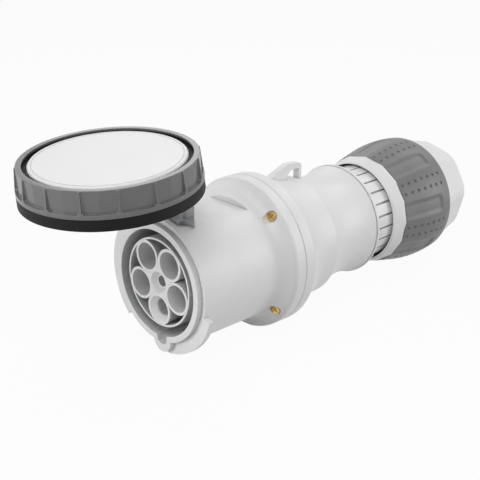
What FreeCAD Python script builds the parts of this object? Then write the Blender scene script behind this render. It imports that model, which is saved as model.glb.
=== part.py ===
import FreeCAD, Part
import math
import os
from types import SimpleNamespace

import Sketcher

# Watertight in-line power connector, female, five poles and a pilot.
# Millimetres and degrees.  The origin is the centre of the collar's front rim,
# +X runs along the axis to the cable end and +Z is up.  Clock angles start at
# six o'clock and run clockwise as seen from the front, towards +Y.

DIMENSIONS = (
    # Front collar and barrel
    ("mating_gap", 7.0),
    ("rim_wall", 4.8),
    ("rim_depth", 4.2),
    ("sleeve_wall", 2.6),
    ("barrel_step", 3.5),
    ("barrel_length", 74.5),
    ("flare_radius", 13.0),
    ("flange_step", 11.7),
    ("flange_lip", 0.5),
    ("flange_round", 2.0),
    ("flange_land", 8.37),
    ("seam_chamfer", 0.7),
    ("socket_depth", 60.0),
    ("web_thickness", 6.0),
    ("sleeve_clearance", 0.05),
    ("cavity_wall", 3.0),
    ("rest_depth", 1.5),
    ("flat_depth", 3.4),
    ("flat_fall", 1.6),
    ("flat_lead", 0.25),
    ("flat_margin", 0.5),
    # Bayonet segments and keyway
    ("bayonet_reach", 6.7),
    ("bayonet_thickness", 4.55),
    ("bayonet_sweep", 87.0),
    ("bayonet_start", 45.0),
    ("bayonet_pitch", 120.0),
    ("ramp_sweep", 8.0),
    ("ramp_depth", 0.7),
    ("key_clock", -6.8),
    ("key_width", 11.0),
    ("key_depth", 6.9),
    ("key_stop", 2.0),
    ("key_boss_radius", 9.8),
    ("key_boss_offset", 3.0),
    # Housing screws
    ("screw_inset", 7.6),
    ("screw_clock", -94.6),
    ("screw_half_pitch", 44.5),
    ("screw_far_pitch", 34.5),
    ("screw_head_radius", 4.0),
    ("screw_head_height", 4.0),
    ("screw_seat", 9.2),
    ("screw_shank", 2.4),
    ("screw_reach", 11.0),
    ("screw_slot_width", 1.0),
    ("screw_slot_depth", 1.6),
    ("screw_slot_length", 5.6),
    ("pocket_clearance", 0.3),
    ("pocket_lead", 4.0),
    ("shank_clearance", 0.3),
    ("insert_nut_radius", 3.5),
    ("thread_clearance", 0.05),
    ("insert_nut_relief", 1.0),
    # Contact insert
    ("insert_front", 2.2),
    ("insert_clearance", 0.2),
    ("insert_ring_wall", 1.6),
    ("insert_margin", 0.6),
    ("hub_inset", 4.1),
    ("floor_step", 10.0),
    ("pole_circle", 21.7),
    ("pole_pitch", 72.0),
    ("tube_wall", 2.2),
    ("tube_gap", 0.055),
    ("tube_clearance", 0.05),
    ("tube_depth", 24.0),
    ("earth_face", 4.5),
    ("dish_margin", 0.4),
    ("dish_land", 1.1),
    ("dish_depth", 3.7),
    ("insert_flange", 5.0),
    ("insert_flange_gap", 1.0),
    # Contacts and their carrier
    ("pilot_radius", 4.3),
    ("contact_clearance", 0.1),
    ("contact_bore", 5.05),
    ("contact_wall", 2.45),
    ("earth_wall", 1.65),
    ("contact_setback", 2.0),
    ("contact_bore_depth", 38.0),
    ("pilot_bore", 2.55),
    ("contact_flange_step", 1.6),
    ("contact_flange", 3.0),
    ("wire_bore", 4.6),
    ("wire_bore_depth", 18.0),
    ("pilot_wire_bore", 2.2),
    ("contact_tail", 20.0),
    ("carrier_thickness", 6.0),
    ("carrier_rim_wall", 4.0),
    ("terminal_screw_radius", 2.5),
    ("terminal_screw_inset", 10.0),
    ("terminal_screw_length", 6.0),
    ("carrier_screw_clock", 30.0),
    ("carrier_screw_pitch", 120.0),
    ("carrier_screw_radius", 1.5),
    ("carrier_screw_head", 2.4),
    ("carrier_screw_head_height", 2.0),
    ("carrier_screw_bite", 4.0),
    # Seam gasket
    ("seam_gasket_width", 3.0),
    ("seam_wall", 2.9),
    ("seam_gasket_half", 1.0),
    # Hinge
    ("hinge_gap", 15.26),
    ("hinge_rise", 12.75),
    ("pin_radius", 3.0),
    ("pin_fit", 0.06),
    ("pin_overhang", 0.8),
    ("knuckle_radius", 5.6),
    ("cheek_gap", 7.2),
    ("cheek_thickness", 4.8),
    ("cheek_front", 13.36),
    ("cheek_back", 6.16),
    ("cheek_neck_drop", 9.0),
    ("base_thickness", 3.4),
    ("base_lead", 1.2),
    ("base_half_width", 13.5),
    ("wing_start", 6.6),
    ("wing_reach", 9.9),
    ("wing_half_width", 22.5),
    ("wing_drop", 1.4),
    ("bracket_clearance", 0.02),
    # Hinged lid, measured back from the top of its ring
    ("lid_open_angle", 85.54),
    ("disc_top", 0.7),
    ("disc_gap", 0.6),
    ("disc_bevel", 1.0),
    ("cap_flange_top", 5.5),
    ("cap_bite", 1.0),
    ("cap_flange_thickness", 2.0),
    ("gasket_seat", 5.0),
    ("gasket_inset", 0.1),
    ("gasket_lap", 1.0),
    ("gasket_thickness", 3.0),
    ("gasket_clearance", 0.3),
    ("arm_half_width", 6.9),
    ("arm_gap", 1.9),
    ("arm_thickness", 5.1),
    ("arm_front_gap", 1.6),
    ("arm_back_gap", 3.1),
    ("arm_rise", 4.7),
    ("disc_ring_inset", 2.6),
    ("disc_ring_width", 0.6),
    ("disc_ring_depth", 0.25),
    # Turning ring of the lid
    ("ring_height", 19.0),
    ("lid_clearance", 1.8),
    ("liner_wall", 3.0),
    ("liner_lip_reach", 3.1),
    ("ring_lip", 1.5),
    ("ring_top_width", 3.8),
    ("ring_edge", 0.8),
    ("ring_shoulder", 4.8),
    ("ring_straight", 2.6),
    ("ridge_count", 16.0),
    ("facet_count", 32.0),
    ("ridge_clock", 9.0),
    ("ridge_width", 1.6),
    ("recess_end", 16.0),
    ("recess_depth", 0.55),
    ("recess_corner", 1.3),
    ("liner_step", 0.9),
    ("liner_step_depth", 8.5),
    ("ring_wall", 3.2),
    ("liner_clearance", 0.05),
    ("liner_lip_top", 3.7),
    ("cap_groove_gap", 0.4),
    ("cap_play", 0.3),
    ("liner_flare_start", 14.0),
    ("liner_flare", 2.2),
    ("band_height", 8.2),
    ("band_inset", 0.1),
    ("lug_gap", 0.6),
    ("lug_thickness", 4.0),
    ("lug_reach", 3.6),
    ("lug_root", 0.9),
    ("lug_sweep", 24.0),
    ("lug_clock", 15.5),
    # Rear housing
    ("rear_flange", 8.0),
    ("edge_round", 6.0),
    ("edge_slope", 36.0),
    ("shoulder_length", 28.5),
    ("shoulder_drop", 10.05),
    ("shoulder_round", 50.0),
    ("belt_length", 8.5),
    ("belt_drop", 0.5),
    ("taper_length", 29.5),
    ("taper_round", 67.0),
    ("neck_step", 2.5),
    ("neck_length", 2.5),
    ("bulge_rise", 22.5),
    ("bulge_hollow", 65.0),
    ("bulge_step", 6.6),
    ("bulge_length", 1.8),
    ("bead_groove_width", 1.4),
    ("bead_groove_depth", 0.9),
    ("tail_round", 1.5),
    ("tail_cone", 1.7),
    ("collar_step", 3.0),
    ("collar_length", 32.0),
    ("spigot_wall", 6.0),
    ("spigot_length", 26.0),
    ("bore_lead", 11.5),
    ("inner_taper", 4.0),
    ("inner_middle", 62.0),
    ("inner_straight", 16.0),
    ("seam_land", 1.0),
    ("slit_count", 24.0),
    ("slit_clock", 1.5),
    ("slit_width", 1.6),
    ("slit_depth", 2.0),
    ("slit_lead", -1.2),
    ("eye_thickness", 6.0),
    ("eye_front", 18.0),
    ("eye_front_drop", 6.3),
    ("eye_crest", 38.8),
    ("eye_crest_rise", 1.6),
    ("eye_back", 51.4),
    ("eye_back_rise", 0.7),
    ("eye_end", 54.3),
    ("eye_end_drop", 3.0),
    ("eye_corner", 3.6),
    ("eye_root", 4.5),
    ("eye_web_front", 19.6),
    ("eye_web_back", 3.0),
    ("eye_web_top", 5.3),
    ("eye_hole_shoulder", 5.6),
    ("eye_hole_round", 7.0),
    # Gland
    ("seal_bore", 22.0),
    ("seal_wall", 9.5),
    ("seal_clearance", 0.5),
    ("seal_seat", 12.0),
    ("seal_length", 16.0),
    ("washer_thickness", 3.0),
    ("washer_clearance", 0.5),
    ("cage_step", 6.0),
    ("cage_play", 0.8),
    ("cage_drum", 13.0),
    ("cage_gap", 0.3),
    ("cage_slots", 6.0),
    ("cage_slot_width", 2.4),
    ("cage_nose_short", 4.0),
    ("nut_lead", 20.0),
    ("nut_gap", 2.5),
    ("nut_lip", 1.5),
    ("nut_front_chamfer", 1.6),
    ("nut_lip_length", 12.6),
    ("nut_shoulder", 1.8),
    ("nut_wall", 3.0),
    ("nut_mouth_depth", 26.0),
    ("thread_play", 0.6),
    ("grip_length", 56.8),
    ("end_length", 38.6),
    ("entry_length", 16.0),
    ("nut_facets", 16.0),
    ("end_sides", 8.0),
    ("end_clock", 37.5),
    ("end_step", 5.1),
    ("end_corner", 6.1),
    ("end_tip_drop", 3.2),
    ("end_round", 4.0),
    ("grip_clearance", 0.05),
    ("grip_front_wall", 1.9),
    ("grip_back_wall", 6.9),
    ("grip_cone", 17.4),
    ("grip_cone_rise", 5.6),
    ("grip_crown", 112.0),
    ("flute_count", 8.0),
    ("flute_clock", 35.1),
    ("flute_tool", 16.0),
    ("flute_depth", 1.6),
    ("flute_lead", 16.0),
    ("flute_length", 24.0),
    ("cut_margin", 2.0),
)

SHEET = "Sizes"
FULL_TURN = 360.0
HALF_TURN = 180.0
QUARTER_TURN = 90.0
HALF = 0.5
FIRST_END, LAST_END = range(1, 3)
SKETCH_ORIGIN = (-1, 1)

AXIS_X = FreeCAD.Vector(1, 0, 0)
AXIS_Y = FreeCAD.Vector(0, 1, 0)
AXIS_Z = FreeCAD.Vector(0, 0, 1)
ALONG_X = FreeCAD.Rotation(AXIS_Y, QUARTER_TURN)
RADIAL = FreeCAD.Rotation(AXIS_Y, HALF_TURN)
UPRIGHT = FreeCAD.Rotation(AXIS_X, QUARTER_TURN)


class Size:
    """A size on the sheet: its number now and the expression that keeps it live."""

    def __init__(self, number, text):
        self.number = number
        self.text = text

    def __add__(self, other):
        other = as_size(other)
        return Size(self.number + other.number, f"({self.text} + {other.text})")

    def __sub__(self, other):
        other = as_size(other)
        return Size(self.number - other.number, f"({self.text} - {other.text})")

    def __mul__(self, other):
        other = as_size(other)
        return Size(self.number * other.number, f"({self.text} * {other.text})")

    def __truediv__(self, other):
        other = as_size(other)
        return Size(self.number / other.number, f"({self.text} / {other.text})")

    def __neg__(self):
        return Size(-self.number, f"(0 - {self.text})")


def as_size(value):
    """A plain number as a size that never changes."""
    if isinstance(value, Size):
        return value
    return Size(float(value), f"({float(value)})")


def sine(angle):
    angle = as_size(angle)
    return Size(math.sin(math.radians(angle.number)), f"sin({angle.text})")


def cosine(angle):
    angle = as_size(angle)
    return Size(math.cos(math.radians(angle.number)), f"cos({angle.text})")


def root(value):
    return Size(math.sqrt(value.number), f"sqrt({value.text})")


doc = FreeCAD.newDocument("power_connector")
sheet = doc.addObject("Spreadsheet::Sheet", SHEET)
sizes = {}
for row, (alias, amount) in enumerate(DIMENSIONS, start=1):
    sheet.set(f"A{row}", alias)
    sheet.set(f"B{row}", str(amount))
    sheet.setAlias(f"B{row}", alias)
    sizes[alias] = Size(amount, f"{SHEET}.{alias}")
doc.recompute()
s = SimpleNamespace(**sizes)
ZERO = as_size(0)


def bind(item, **amounts):
    """Tie properties of an object to the sheet."""
    for name, amount in amounts.items():
        item.setExpression(name, as_size(amount).text)


def put(item, x=ZERO, y=ZERO, z=ZERO, turn=FreeCAD.Rotation()):
    """Place an object at a point tied to the sheet."""
    here = FreeCAD.Vector(x.number, y.number, z.number)
    item.Placement = FreeCAD.Placement(here, turn)
    for axis, amount in zip("xyz", (x, y, z)):
        item.setExpression(f"Placement.Base.{axis}", amount.text)


def clock_point(radius, clock):
    """Side and height of a point at a radius and clock angle."""
    return radius * sine(clock), -(radius * cosine(clock))


def clock_turn(clock):
    return FreeCAD.Rotation(AXIS_X, as_size(clock).number)


def corner_sketch(sketch, outline):
    """Draw a closed outline; a corner's third value is the arc that leaves it."""
    count = len(outline)
    spots = [FreeCAD.Vector(corner[0].number, corner[1].number, 0) for corner in outline]
    ends = []
    arcs = []
    for index, corner in enumerate(outline):
        here = spots[index]
        there = spots[(index + 1) % count]
        if len(corner) == 2:
            edge = sketch.addGeometry(Part.LineSegment(here, there), False)
            ends.append((edge, FIRST_END, LAST_END))
            continue
        radius = abs(corner[2].number)
        left = corner[2].number > 0
        chord = there - here
        reach = math.sqrt(radius ** 2 - (chord.Length * HALF) ** 2)
        normal = FreeCAD.Vector(-chord.y, chord.x, 0).normalize()
        centre = here + chord * HALF + normal * (reach if left else -reach)
        first, last = (here, there) if left else (there, here)
        begin = math.atan2(first.y - centre.y, first.x - centre.x)
        finish = math.atan2(last.y - centre.y, last.x - centre.x)
        circle = Part.Circle(centre, AXIS_Z, radius)
        edge = sketch.addGeometry(Part.ArcOfCircle(circle, begin, finish), False)
        ends.append((edge, FIRST_END, LAST_END) if left else (edge, LAST_END, FIRST_END))
        arcs.append((edge, corner[2]))
    for index in range(count):
        edge, _, finish = ends[index]
        follower, start, _ = ends[(index + 1) % count]
        sketch.addConstraint(Sketcher.Constraint("Coincident", edge, finish, follower, start))
    for index, corner in enumerate(outline):
        edge, start, _ = ends[index]
        for kind, amount in (("DistanceX", corner[0]), ("DistanceY", corner[1])):
            rule = sketch.addConstraint(Sketcher.Constraint(kind, *SKETCH_ORIGIN, edge, start, amount.number))
            sketch.setExpression(f"Constraints[{rule}]", amount.text)
    for edge, radius in arcs:
        rule = sketch.addConstraint(Sketcher.Constraint("Radius", edge, abs(radius.number)))
        sketch.setExpression(f"Constraints[{rule}]", f"abs({radius.text})")


def turned(name, outline):
    """A body turned about X from corners given as distance along and radius."""
    body = doc.addObject("PartDesign::Body", name)
    sketch = body.newObject("Sketcher::SketchObject", f"{name}_outline")
    plane = next(item for item in body.Origin.OriginFeatures if item.Role == "XY_Plane")
    sketch.AttachmentSupport = (plane, [""])
    sketch.MapMode = "FlatFace"
    corner_sketch(sketch, outline)
    turn = body.newObject("PartDesign::Revolution", f"{name}_turn")
    turn.Profile = sketch
    turn.ReferenceAxis = (sketch, ["H_Axis"])
    turn.Angle = FULL_TURN
    body.Tip = turn
    return body


def plate(name, outline, half_width, turn=UPRIGHT):
    """A plate drawn in the upright middle plane and thickened both ways."""
    sketch = doc.addObject("Sketcher::SketchObject", f"{name}_outline")
    sketch.Placement = FreeCAD.Placement(FreeCAD.Vector(), turn)
    corner_sketch(sketch, outline)
    solid = doc.addObject("Part::Extrusion", name)
    solid.Base = sketch
    solid.DirMode = "Normal"
    solid.Solid = True
    solid.Symmetric = True
    bind(solid, LengthFwd=half_width * 2)
    return solid


def rod(name, radius, start, length, clock=ZERO, offset=ZERO, sweep=None):
    """A cylinder along X, at a clock angle off the axis if an offset is given."""
    solid = doc.addObject("Part::Cylinder", name)
    bind(solid, Radius=radius, Height=length)
    side, height = clock_point(offset, clock)
    put(solid, start, side, height, clock_turn(clock).multiply(ALONG_X))
    if sweep is not None:
        bind(solid, Angle=sweep)
    return solid


def spoke(name, radius, start, length, x, clock, across=ZERO):
    """A cylinder pointing outwards at a clock angle, from a radius outwards."""
    solid = doc.addObject("Part::Cylinder", name)
    bind(solid, Radius=radius, Height=length)
    side, height = clock_point(start, clock)
    put(solid, x, side, height, clock_turn(clock).multiply(RADIAL))
    return solid


def block(name, x, length, clock, radius, depth, width):
    """A box standing outwards from a radius at a clock angle, centred on it."""
    solid = doc.addObject("Part::Box", name)
    bind(solid, Length=length, Width=width, Height=depth)
    reach = radius + depth
    half = width * HALF
    side = reach * sine(clock) - half * cosine(clock)
    height = -(reach * cosine(clock)) - half * sine(clock)
    put(solid, x, side, height, clock_turn(clock))
    return solid


def box(name, x, y, z, length, width, height):
    solid = doc.addObject("Part::Box", name)
    bind(solid, Length=length, Width=width, Height=height)
    put(solid, x, y, z)
    return solid


def fuse(name, *items):
    result = doc.addObject("Part::MultiFuse", name)
    result.Shapes = list(items)
    result.Refine = True
    return result


def group(name, *items):
    result = doc.addObject("Part::Compound", name)
    result.Links = list(items)
    return result


def cut(name, base, *tools):
    tool = tools[0]
    if len(tools) > 1:
        tool = doc.addObject("Part::Compound", f"{name}_tools")
        tool.Links = list(tools)
    result = doc.addObject("Part::Cut", name)
    result.Base = base
    result.Tool = tool
    return result


def prism(name, sides, radius, start, length, clock):
    """A regular prism along X with a corner at the clock angle."""
    solid = doc.addObject("Part::Prism", name)
    solid.Polygon = int(sides.number)
    bind(solid, Circumradius=radius, Height=length)
    put(solid, start, ZERO, ZERO, clock_turn(clock).multiply(ALONG_X))
    return solid


def funnel(name, front_radius, back_radius, start, length, clock, offset):
    """A cone along the axis that narrows towards the back."""
    solid = doc.addObject("Part::Cone", name)
    bind(solid, Radius1=front_radius, Radius2=back_radius, Height=length)
    side, height = clock_point(offset, clock)
    put(solid, start, side, height, ALONG_X)
    return solid


def ring(name, start, length, inner, outer):
    """A plain ring about X."""
    finish = start + length
    return turned(name, ((start, inner), (start, outer), (finish, outer), (finish, inner)))


def clocks(first, count):
    """Evenly spread clock angles."""
    step = FULL_TURN / int(as_size(count).number)
    return [as_size(first) + step * index for index in range(int(as_size(count).number))]


# Shared radii, from the poles outwards
tube_radius = s.pole_circle * sine(s.pole_pitch * HALF) - s.tube_gap
tube_bore = tube_radius - s.tube_wall
insert_radius = s.pole_circle + tube_radius + s.insert_margin
insert_hole = insert_radius + s.insert_clearance
hub_radius = s.pole_circle - s.hub_inset
collar_bore = insert_radius + s.mating_gap
rim_radius = collar_bore + s.rim_wall
sleeve_radius = collar_bore + s.sleeve_wall
sleeve_hole = sleeve_radius + s.sleeve_clearance
barrel_radius = rim_radius + s.barrel_step
bayonet_outer = barrel_radius + s.bayonet_reach
flange_radius = barrel_radius + s.flange_step
screw_circle = flange_radius - s.screw_inset
groove_outer = screw_circle - s.insert_nut_radius - s.seam_wall
groove_inner = groove_outer - s.seam_gasket_width
cavity_radius = groove_inner - s.cavity_wall
carrier_radius = cavity_radius - s.insert_flange_gap
carrier_circle = (insert_hole + cavity_radius) * HALF
contact_radius = s.contact_bore + s.contact_wall
earth_radius = s.contact_bore + s.earth_wall
contact_hole = contact_radius + s.contact_clearance
earth_hole = earth_radius + s.contact_clearance
pilot_hole = s.pilot_radius + s.contact_clearance
rest_drop = flange_radius - s.rest_depth
wide = flange_radius * 2

# Shared positions along the axis
flare_top = flange_radius - s.flange_round - s.flange_lip
flare_gap = s.flare_radius - (flare_top - barrel_radius)
flare_run = root(s.flare_radius * s.flare_radius - flare_gap * flare_gap)
flange_front = s.barrel_length + flare_run
flange_edge = flange_front + s.seam_chamfer + s.flange_round
seam_x = flange_edge + s.flange_land
web_back = s.socket_depth + s.web_thickness
flat_z = barrel_radius - s.flat_depth
flat_start = s.rim_depth + s.bayonet_thickness + s.flat_lead
flat_end = s.barrel_length - s.flat_margin
seat_x = seam_x - s.screw_seat
head_x = seat_x - s.screw_head_height
screw_end = seam_x + s.screw_reach
pocket_floor = s.socket_depth - s.floor_step
insert_back = web_back + s.insert_flange
flange_seat = insert_back + s.contact_flange
carrier_back = flange_seat + s.carrier_thickness
contact_front = s.tube_depth + s.contact_setback
contact_end = carrier_back + s.contact_tail
line_clocks = [s.pole_pitch * step for step in (1, 2, 3, 4)]
earth_clock = ZERO
far_clock = s.screw_clock + HALF_TURN
screw_clocks = (
    s.screw_clock - s.screw_half_pitch,
    s.screw_clock + s.screw_half_pitch,
    far_clock - s.screw_far_pitch,
    far_clock + s.screw_far_pitch,
)
carrier_clocks = [s.carrier_screw_clock + s.carrier_screw_pitch * step for step in (0, 1, 2)]

# Socket sleeve: the collar's rim and bore; the floor behind it holds the insert
sleeve_turned = turned("sleeve_turned", (
    (ZERO, collar_bore),
    (ZERO, rim_radius),
    (s.rim_depth, rim_radius),
    (s.rim_depth, sleeve_radius),
    (s.socket_depth, sleeve_radius),
    (s.socket_depth, collar_bore),
))
key_round = s.key_width * HALF
key_bottom = collar_bore + s.key_depth - key_round
key_length = s.socket_depth - s.key_stop


def keyway(name):
    """The slot that the plug's key runs in, with a round floor."""
    floor = rod(f"{name}_floor", key_round, -s.cut_margin, key_length + s.cut_margin, s.key_clock, key_bottom)
    start = insert_radius + s.cut_margin
    sides = block(f"{name}_sides", -s.cut_margin, key_length + s.cut_margin, s.key_clock, start,
                  key_bottom - start, s.key_width)
    return floor, sides


socket_sleeve = cut("socket_sleeve", sleeve_turned, *keyway("sleeve_key"))
floor_ring = ring("floor_ring", s.socket_depth, s.web_thickness, insert_hole, sleeve_radius)
floor_holes = []
for index, clock in enumerate(carrier_clocks):
    floor_holes.append(rod(f"floor_hole_{index}", s.carrier_screw_radius + s.contact_clearance,
                           web_back - s.carrier_screw_bite, s.carrier_screw_bite + s.cut_margin, clock,
                           carrier_circle))
socket_floor = cut("socket_floor", floor_ring, *floor_holes)

# Front housing: barrel round the sleeve, and the flared flange
front_turned = turned("front_turned", (
    (s.rim_depth, sleeve_hole),
    (s.rim_depth, barrel_radius),
    (s.barrel_length, barrel_radius, s.flare_radius),
    (flange_front, flare_top),
    (flange_front + s.seam_chamfer, flange_radius - s.flange_round, -s.flange_round),
    (flange_edge, flange_radius),
    (seam_x - s.seam_chamfer, flange_radius),
    (seam_x, flange_radius - s.seam_chamfer),
    (seam_x, cavity_radius),
    (web_back, cavity_radius),
    (web_back, sleeve_hole),
))
flat_tool = plate("flat_tool", (
    (flat_start, flat_z),
    (flat_end, flat_z - s.flat_fall),
    (flat_end, flange_radius),
    (flat_start, flange_radius),
), flange_radius)
front_flatted = cut("front_flatted", front_turned, flat_tool)

segments = []
first_clock = s.bayonet_start
second_clock = s.bayonet_start - s.bayonet_pitch
for index, clock, sweep in ((0, first_clock, s.bayonet_sweep), (1, second_clock, s.key_clock - second_clock)):
    wedge = rod(f"segment_wedge_{index}", bayonet_outer, s.rim_depth, s.bayonet_thickness, clock, sweep=sweep)
    hollow = rod(f"segment_hollow_{index}", sleeve_hole, s.rim_depth - s.cut_margin,
                 s.bayonet_thickness + s.cut_margin * 2)
    ramp = rod(f"segment_ramp_{index}", bayonet_outer + s.cut_margin,
               s.rim_depth + s.bayonet_thickness - s.ramp_depth, s.cut_margin, clock,
               sweep=s.ramp_sweep)
    segments.append(cut(f"segment_{index}", wedge, hollow, ramp))

key_boss = rod("key_boss", s.key_boss_radius, ZERO, s.socket_depth, s.key_clock,
               collar_bore + s.key_boss_offset)
boss_hollow = rod("boss_hollow", sleeve_hole, -s.cut_margin, wide)
rim_hollow = rod("rim_hollow", rim_radius + s.sleeve_clearance, -s.cut_margin, s.rim_depth + s.cut_margin)
boss = cut("boss", key_boss, boss_hollow, rim_hollow)
front_solid = fuse("front_solid", front_flatted, boss, *segments)

front_cuts = [
    *keyway("front_key"),
    box("front_rest_cut", flange_front - s.flare_radius, -flange_radius, -(rest_drop + wide),
        seam_x, wide, wide),
    ring("front_groove", seam_x - s.seam_gasket_half, s.seam_gasket_half + s.cut_margin,
         groove_inner, groove_outer),
]
pocket_radius = s.screw_head_radius + s.pocket_clearance
pocket_x = s.barrel_length + s.pocket_lead
for index, clock in enumerate(screw_clocks):
    front_cuts.append(rod(f"pocket_{index}", pocket_radius, pocket_x, seat_x - pocket_x, clock, screw_circle))
    front_cuts.append(rod(f"shank_hole_{index}", s.screw_shank + s.shank_clearance, seat_x - s.cut_margin,
                          seam_x - seat_x + s.cut_margin * 2, clock, screw_circle))
front_housing = cut("front_housing", front_solid, *front_cuts)

# Housing screws with crossed slots, and the threaded inserts they run into
screws = []
inserts = []
for index, clock in enumerate(screw_clocks):
    head = rod(f"screw_head_{index}", s.screw_head_radius, head_x, s.screw_head_height, clock, screw_circle)
    shank = rod(f"screw_shank_{index}", s.screw_shank, seat_x - s.cut_margin * HALF,
                screw_end - seat_x + s.cut_margin * HALF, clock, screw_circle)
    solid = fuse(f"screw_solid_{index}", head, shank)
    slot_start = screw_circle - s.screw_slot_length * HALF
    radial_slot = block(f"radial_slot_{index}", head_x - s.cut_margin, s.cut_margin + s.screw_slot_depth, clock,
                        slot_start, s.screw_slot_length, s.screw_slot_width)
    cross_start = screw_circle - s.screw_slot_width * HALF
    cross_slot = block(f"cross_slot_{index}", head_x - s.cut_margin, s.cut_margin + s.screw_slot_depth, clock,
                       cross_start, s.screw_slot_width, s.screw_slot_length)
    screws.append(cut(f"screw_{index}", solid, radial_slot, cross_slot))
    sleeve = rod(f"insert_sleeve_{index}", s.insert_nut_radius, seam_x, s.screw_reach, clock, screw_circle)
    thread = rod(f"insert_thread_{index}", s.screw_shank + s.thread_clearance, seam_x - s.cut_margin,
                 s.screw_reach + s.cut_margin * 2, clock, screw_circle)
    inserts.append(cut(f"insert_{index}", sleeve, thread))
housing_screws = group("housing_screws", *screws)
thread_inserts = group("thread_inserts", *inserts)

seam_gasket = ring("housing_gasket", seam_x - s.seam_gasket_half, s.seam_gasket_half * 2,
                   groove_inner, groove_outer)

# Contact insert: a base plate that carries five tubes, a dished hub and a thin sleeve
base_blank = turned("base_blank", (
    (pocket_floor, ZERO),
    (pocket_floor, insert_radius),
    (web_back, insert_radius),
    (web_back, carrier_radius),
    (insert_back, carrier_radius),
    (insert_back, ZERO),
))
ahead = s.insert_front - s.cut_margin
tube_length = pocket_floor - s.insert_front
through = insert_back - ahead + s.cut_margin
pole_clocks = [earth_clock] + line_clocks
pole_holes = [earth_hole] + [contact_hole] * len(line_clocks)
mouths = [funnel("earth_mouth", tube_bore, earth_hole, s.insert_front, s.earth_face, earth_clock,
                 s.pole_circle)]
for index, clock in enumerate(line_clocks):
    mouths.append(rod(f"line_mouth_{index}", tube_bore, ahead, s.tube_depth - ahead, clock, s.pole_circle))
base_cuts = [rod("pilot_hole", pilot_hole, ahead, through)]
seats = []
tubes = []
for index, (clock, hole, mouth) in enumerate(zip(pole_clocks, pole_holes, mouths)):
    base_cuts.append(rod(f"pole_hole_{index}", hole, ahead, through, clock, s.pole_circle))
    seats.append(rod(f"tube_seat_{index}", tube_radius + s.tube_clearance, ahead, pocket_floor,
                     clock, s.pole_circle))
    outside = rod(f"tube_outside_{index}", tube_radius, s.insert_front, tube_length, clock, s.pole_circle)
    pole = rod(f"tube_pole_{index}", hole, ahead, through, clock, s.pole_circle)
    tubes.append(cut(f"tube_{index}", outside, mouth, pole))
for index, clock in enumerate(carrier_clocks):
    base_cuts.append(rod(f"insert_screw_hole_{index}", s.carrier_screw_radius + s.contact_clearance,
                         web_back - s.cut_margin, s.insert_flange + s.cut_margin * 2, clock, carrier_circle))
contact_insert = cut("contact_insert", base_blank, *base_cuts)
socket_tubes = group("socket_tubes", *tubes)
tube_seats = group("tube_seats", *seats)
sleeve_ring = ring("sleeve_ring", s.insert_front, tube_length,
                   insert_radius - s.insert_ring_wall, insert_radius)
insert_sleeve = cut("insert_sleeve", sleeve_ring, tube_seats)
hub_blank = rod("hub_blank", hub_radius, s.insert_front, tube_length)
dish = funnel("dish", s.pole_circle - tube_radius - s.dish_margin, pilot_hole + s.dish_land, s.insert_front,
              s.dish_depth, ZERO, ZERO)
hub_hole = rod("hub_hole", pilot_hole, ahead, through)
insert_hub = cut("insert_hub", hub_blank, tube_seats, dish, hub_hole)


def contact(name, radius, bore, wire, clock, circle, screwed):
    """A turned contact: pin sleeve in front, flange, and a wire barrel behind."""
    blank = turned(f"{name}_blank", (
        (contact_front, bore),
        (contact_front, radius),
        (insert_back, radius),
        (insert_back, radius + s.contact_flange_step),
        (flange_seat, radius + s.contact_flange_step),
        (flange_seat, radius),
        (contact_end, radius),
        (contact_end, wire),
        (contact_end - s.wire_bore_depth, wire),
        (contact_end - s.wire_bore_depth, ZERO),
        (contact_front + s.contact_bore_depth, ZERO),
        (contact_front + s.contact_bore_depth, bore),
    ))
    side, height = clock_point(circle, clock)
    put(blank, ZERO, side, height)
    if not screwed:
        blank.Label = name
        return blank
    hole = spoke(f"{name}_hole", s.terminal_screw_radius + s.thread_clearance, circle + wire - s.cut_margin,
                 radius + s.cut_margin, terminal_x, clock)
    return cut(name, blank, hole)


terminal_x = contact_end - s.terminal_screw_inset
contacts = [contact("earth_contact", earth_radius, s.contact_bore, s.wire_bore, earth_clock,
                    s.pole_circle, True)]
line_names = ("line_contact_1", "line_contact_2", "line_contact_3", "neutral_contact")
for name, clock in zip(line_names, line_clocks):
    contacts.append(contact(name, contact_radius, s.contact_bore, s.wire_bore, clock, s.pole_circle, True))
pilot = contact("pilot_contact", s.pilot_radius, s.pilot_bore, s.pilot_wire_bore, ZERO, ZERO, False)
terminal_parts = []
for index, clock in enumerate([earth_clock] + line_clocks):
    start = s.pole_circle + s.wire_bore - s.cut_margin * HALF
    screw = spoke(f"terminal_screw_{index}", s.terminal_screw_radius, start, s.terminal_screw_length,
                  terminal_x, clock)
    terminal_parts.append(screw)
terminal_screws = group("terminal_screws", *terminal_parts)

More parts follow.
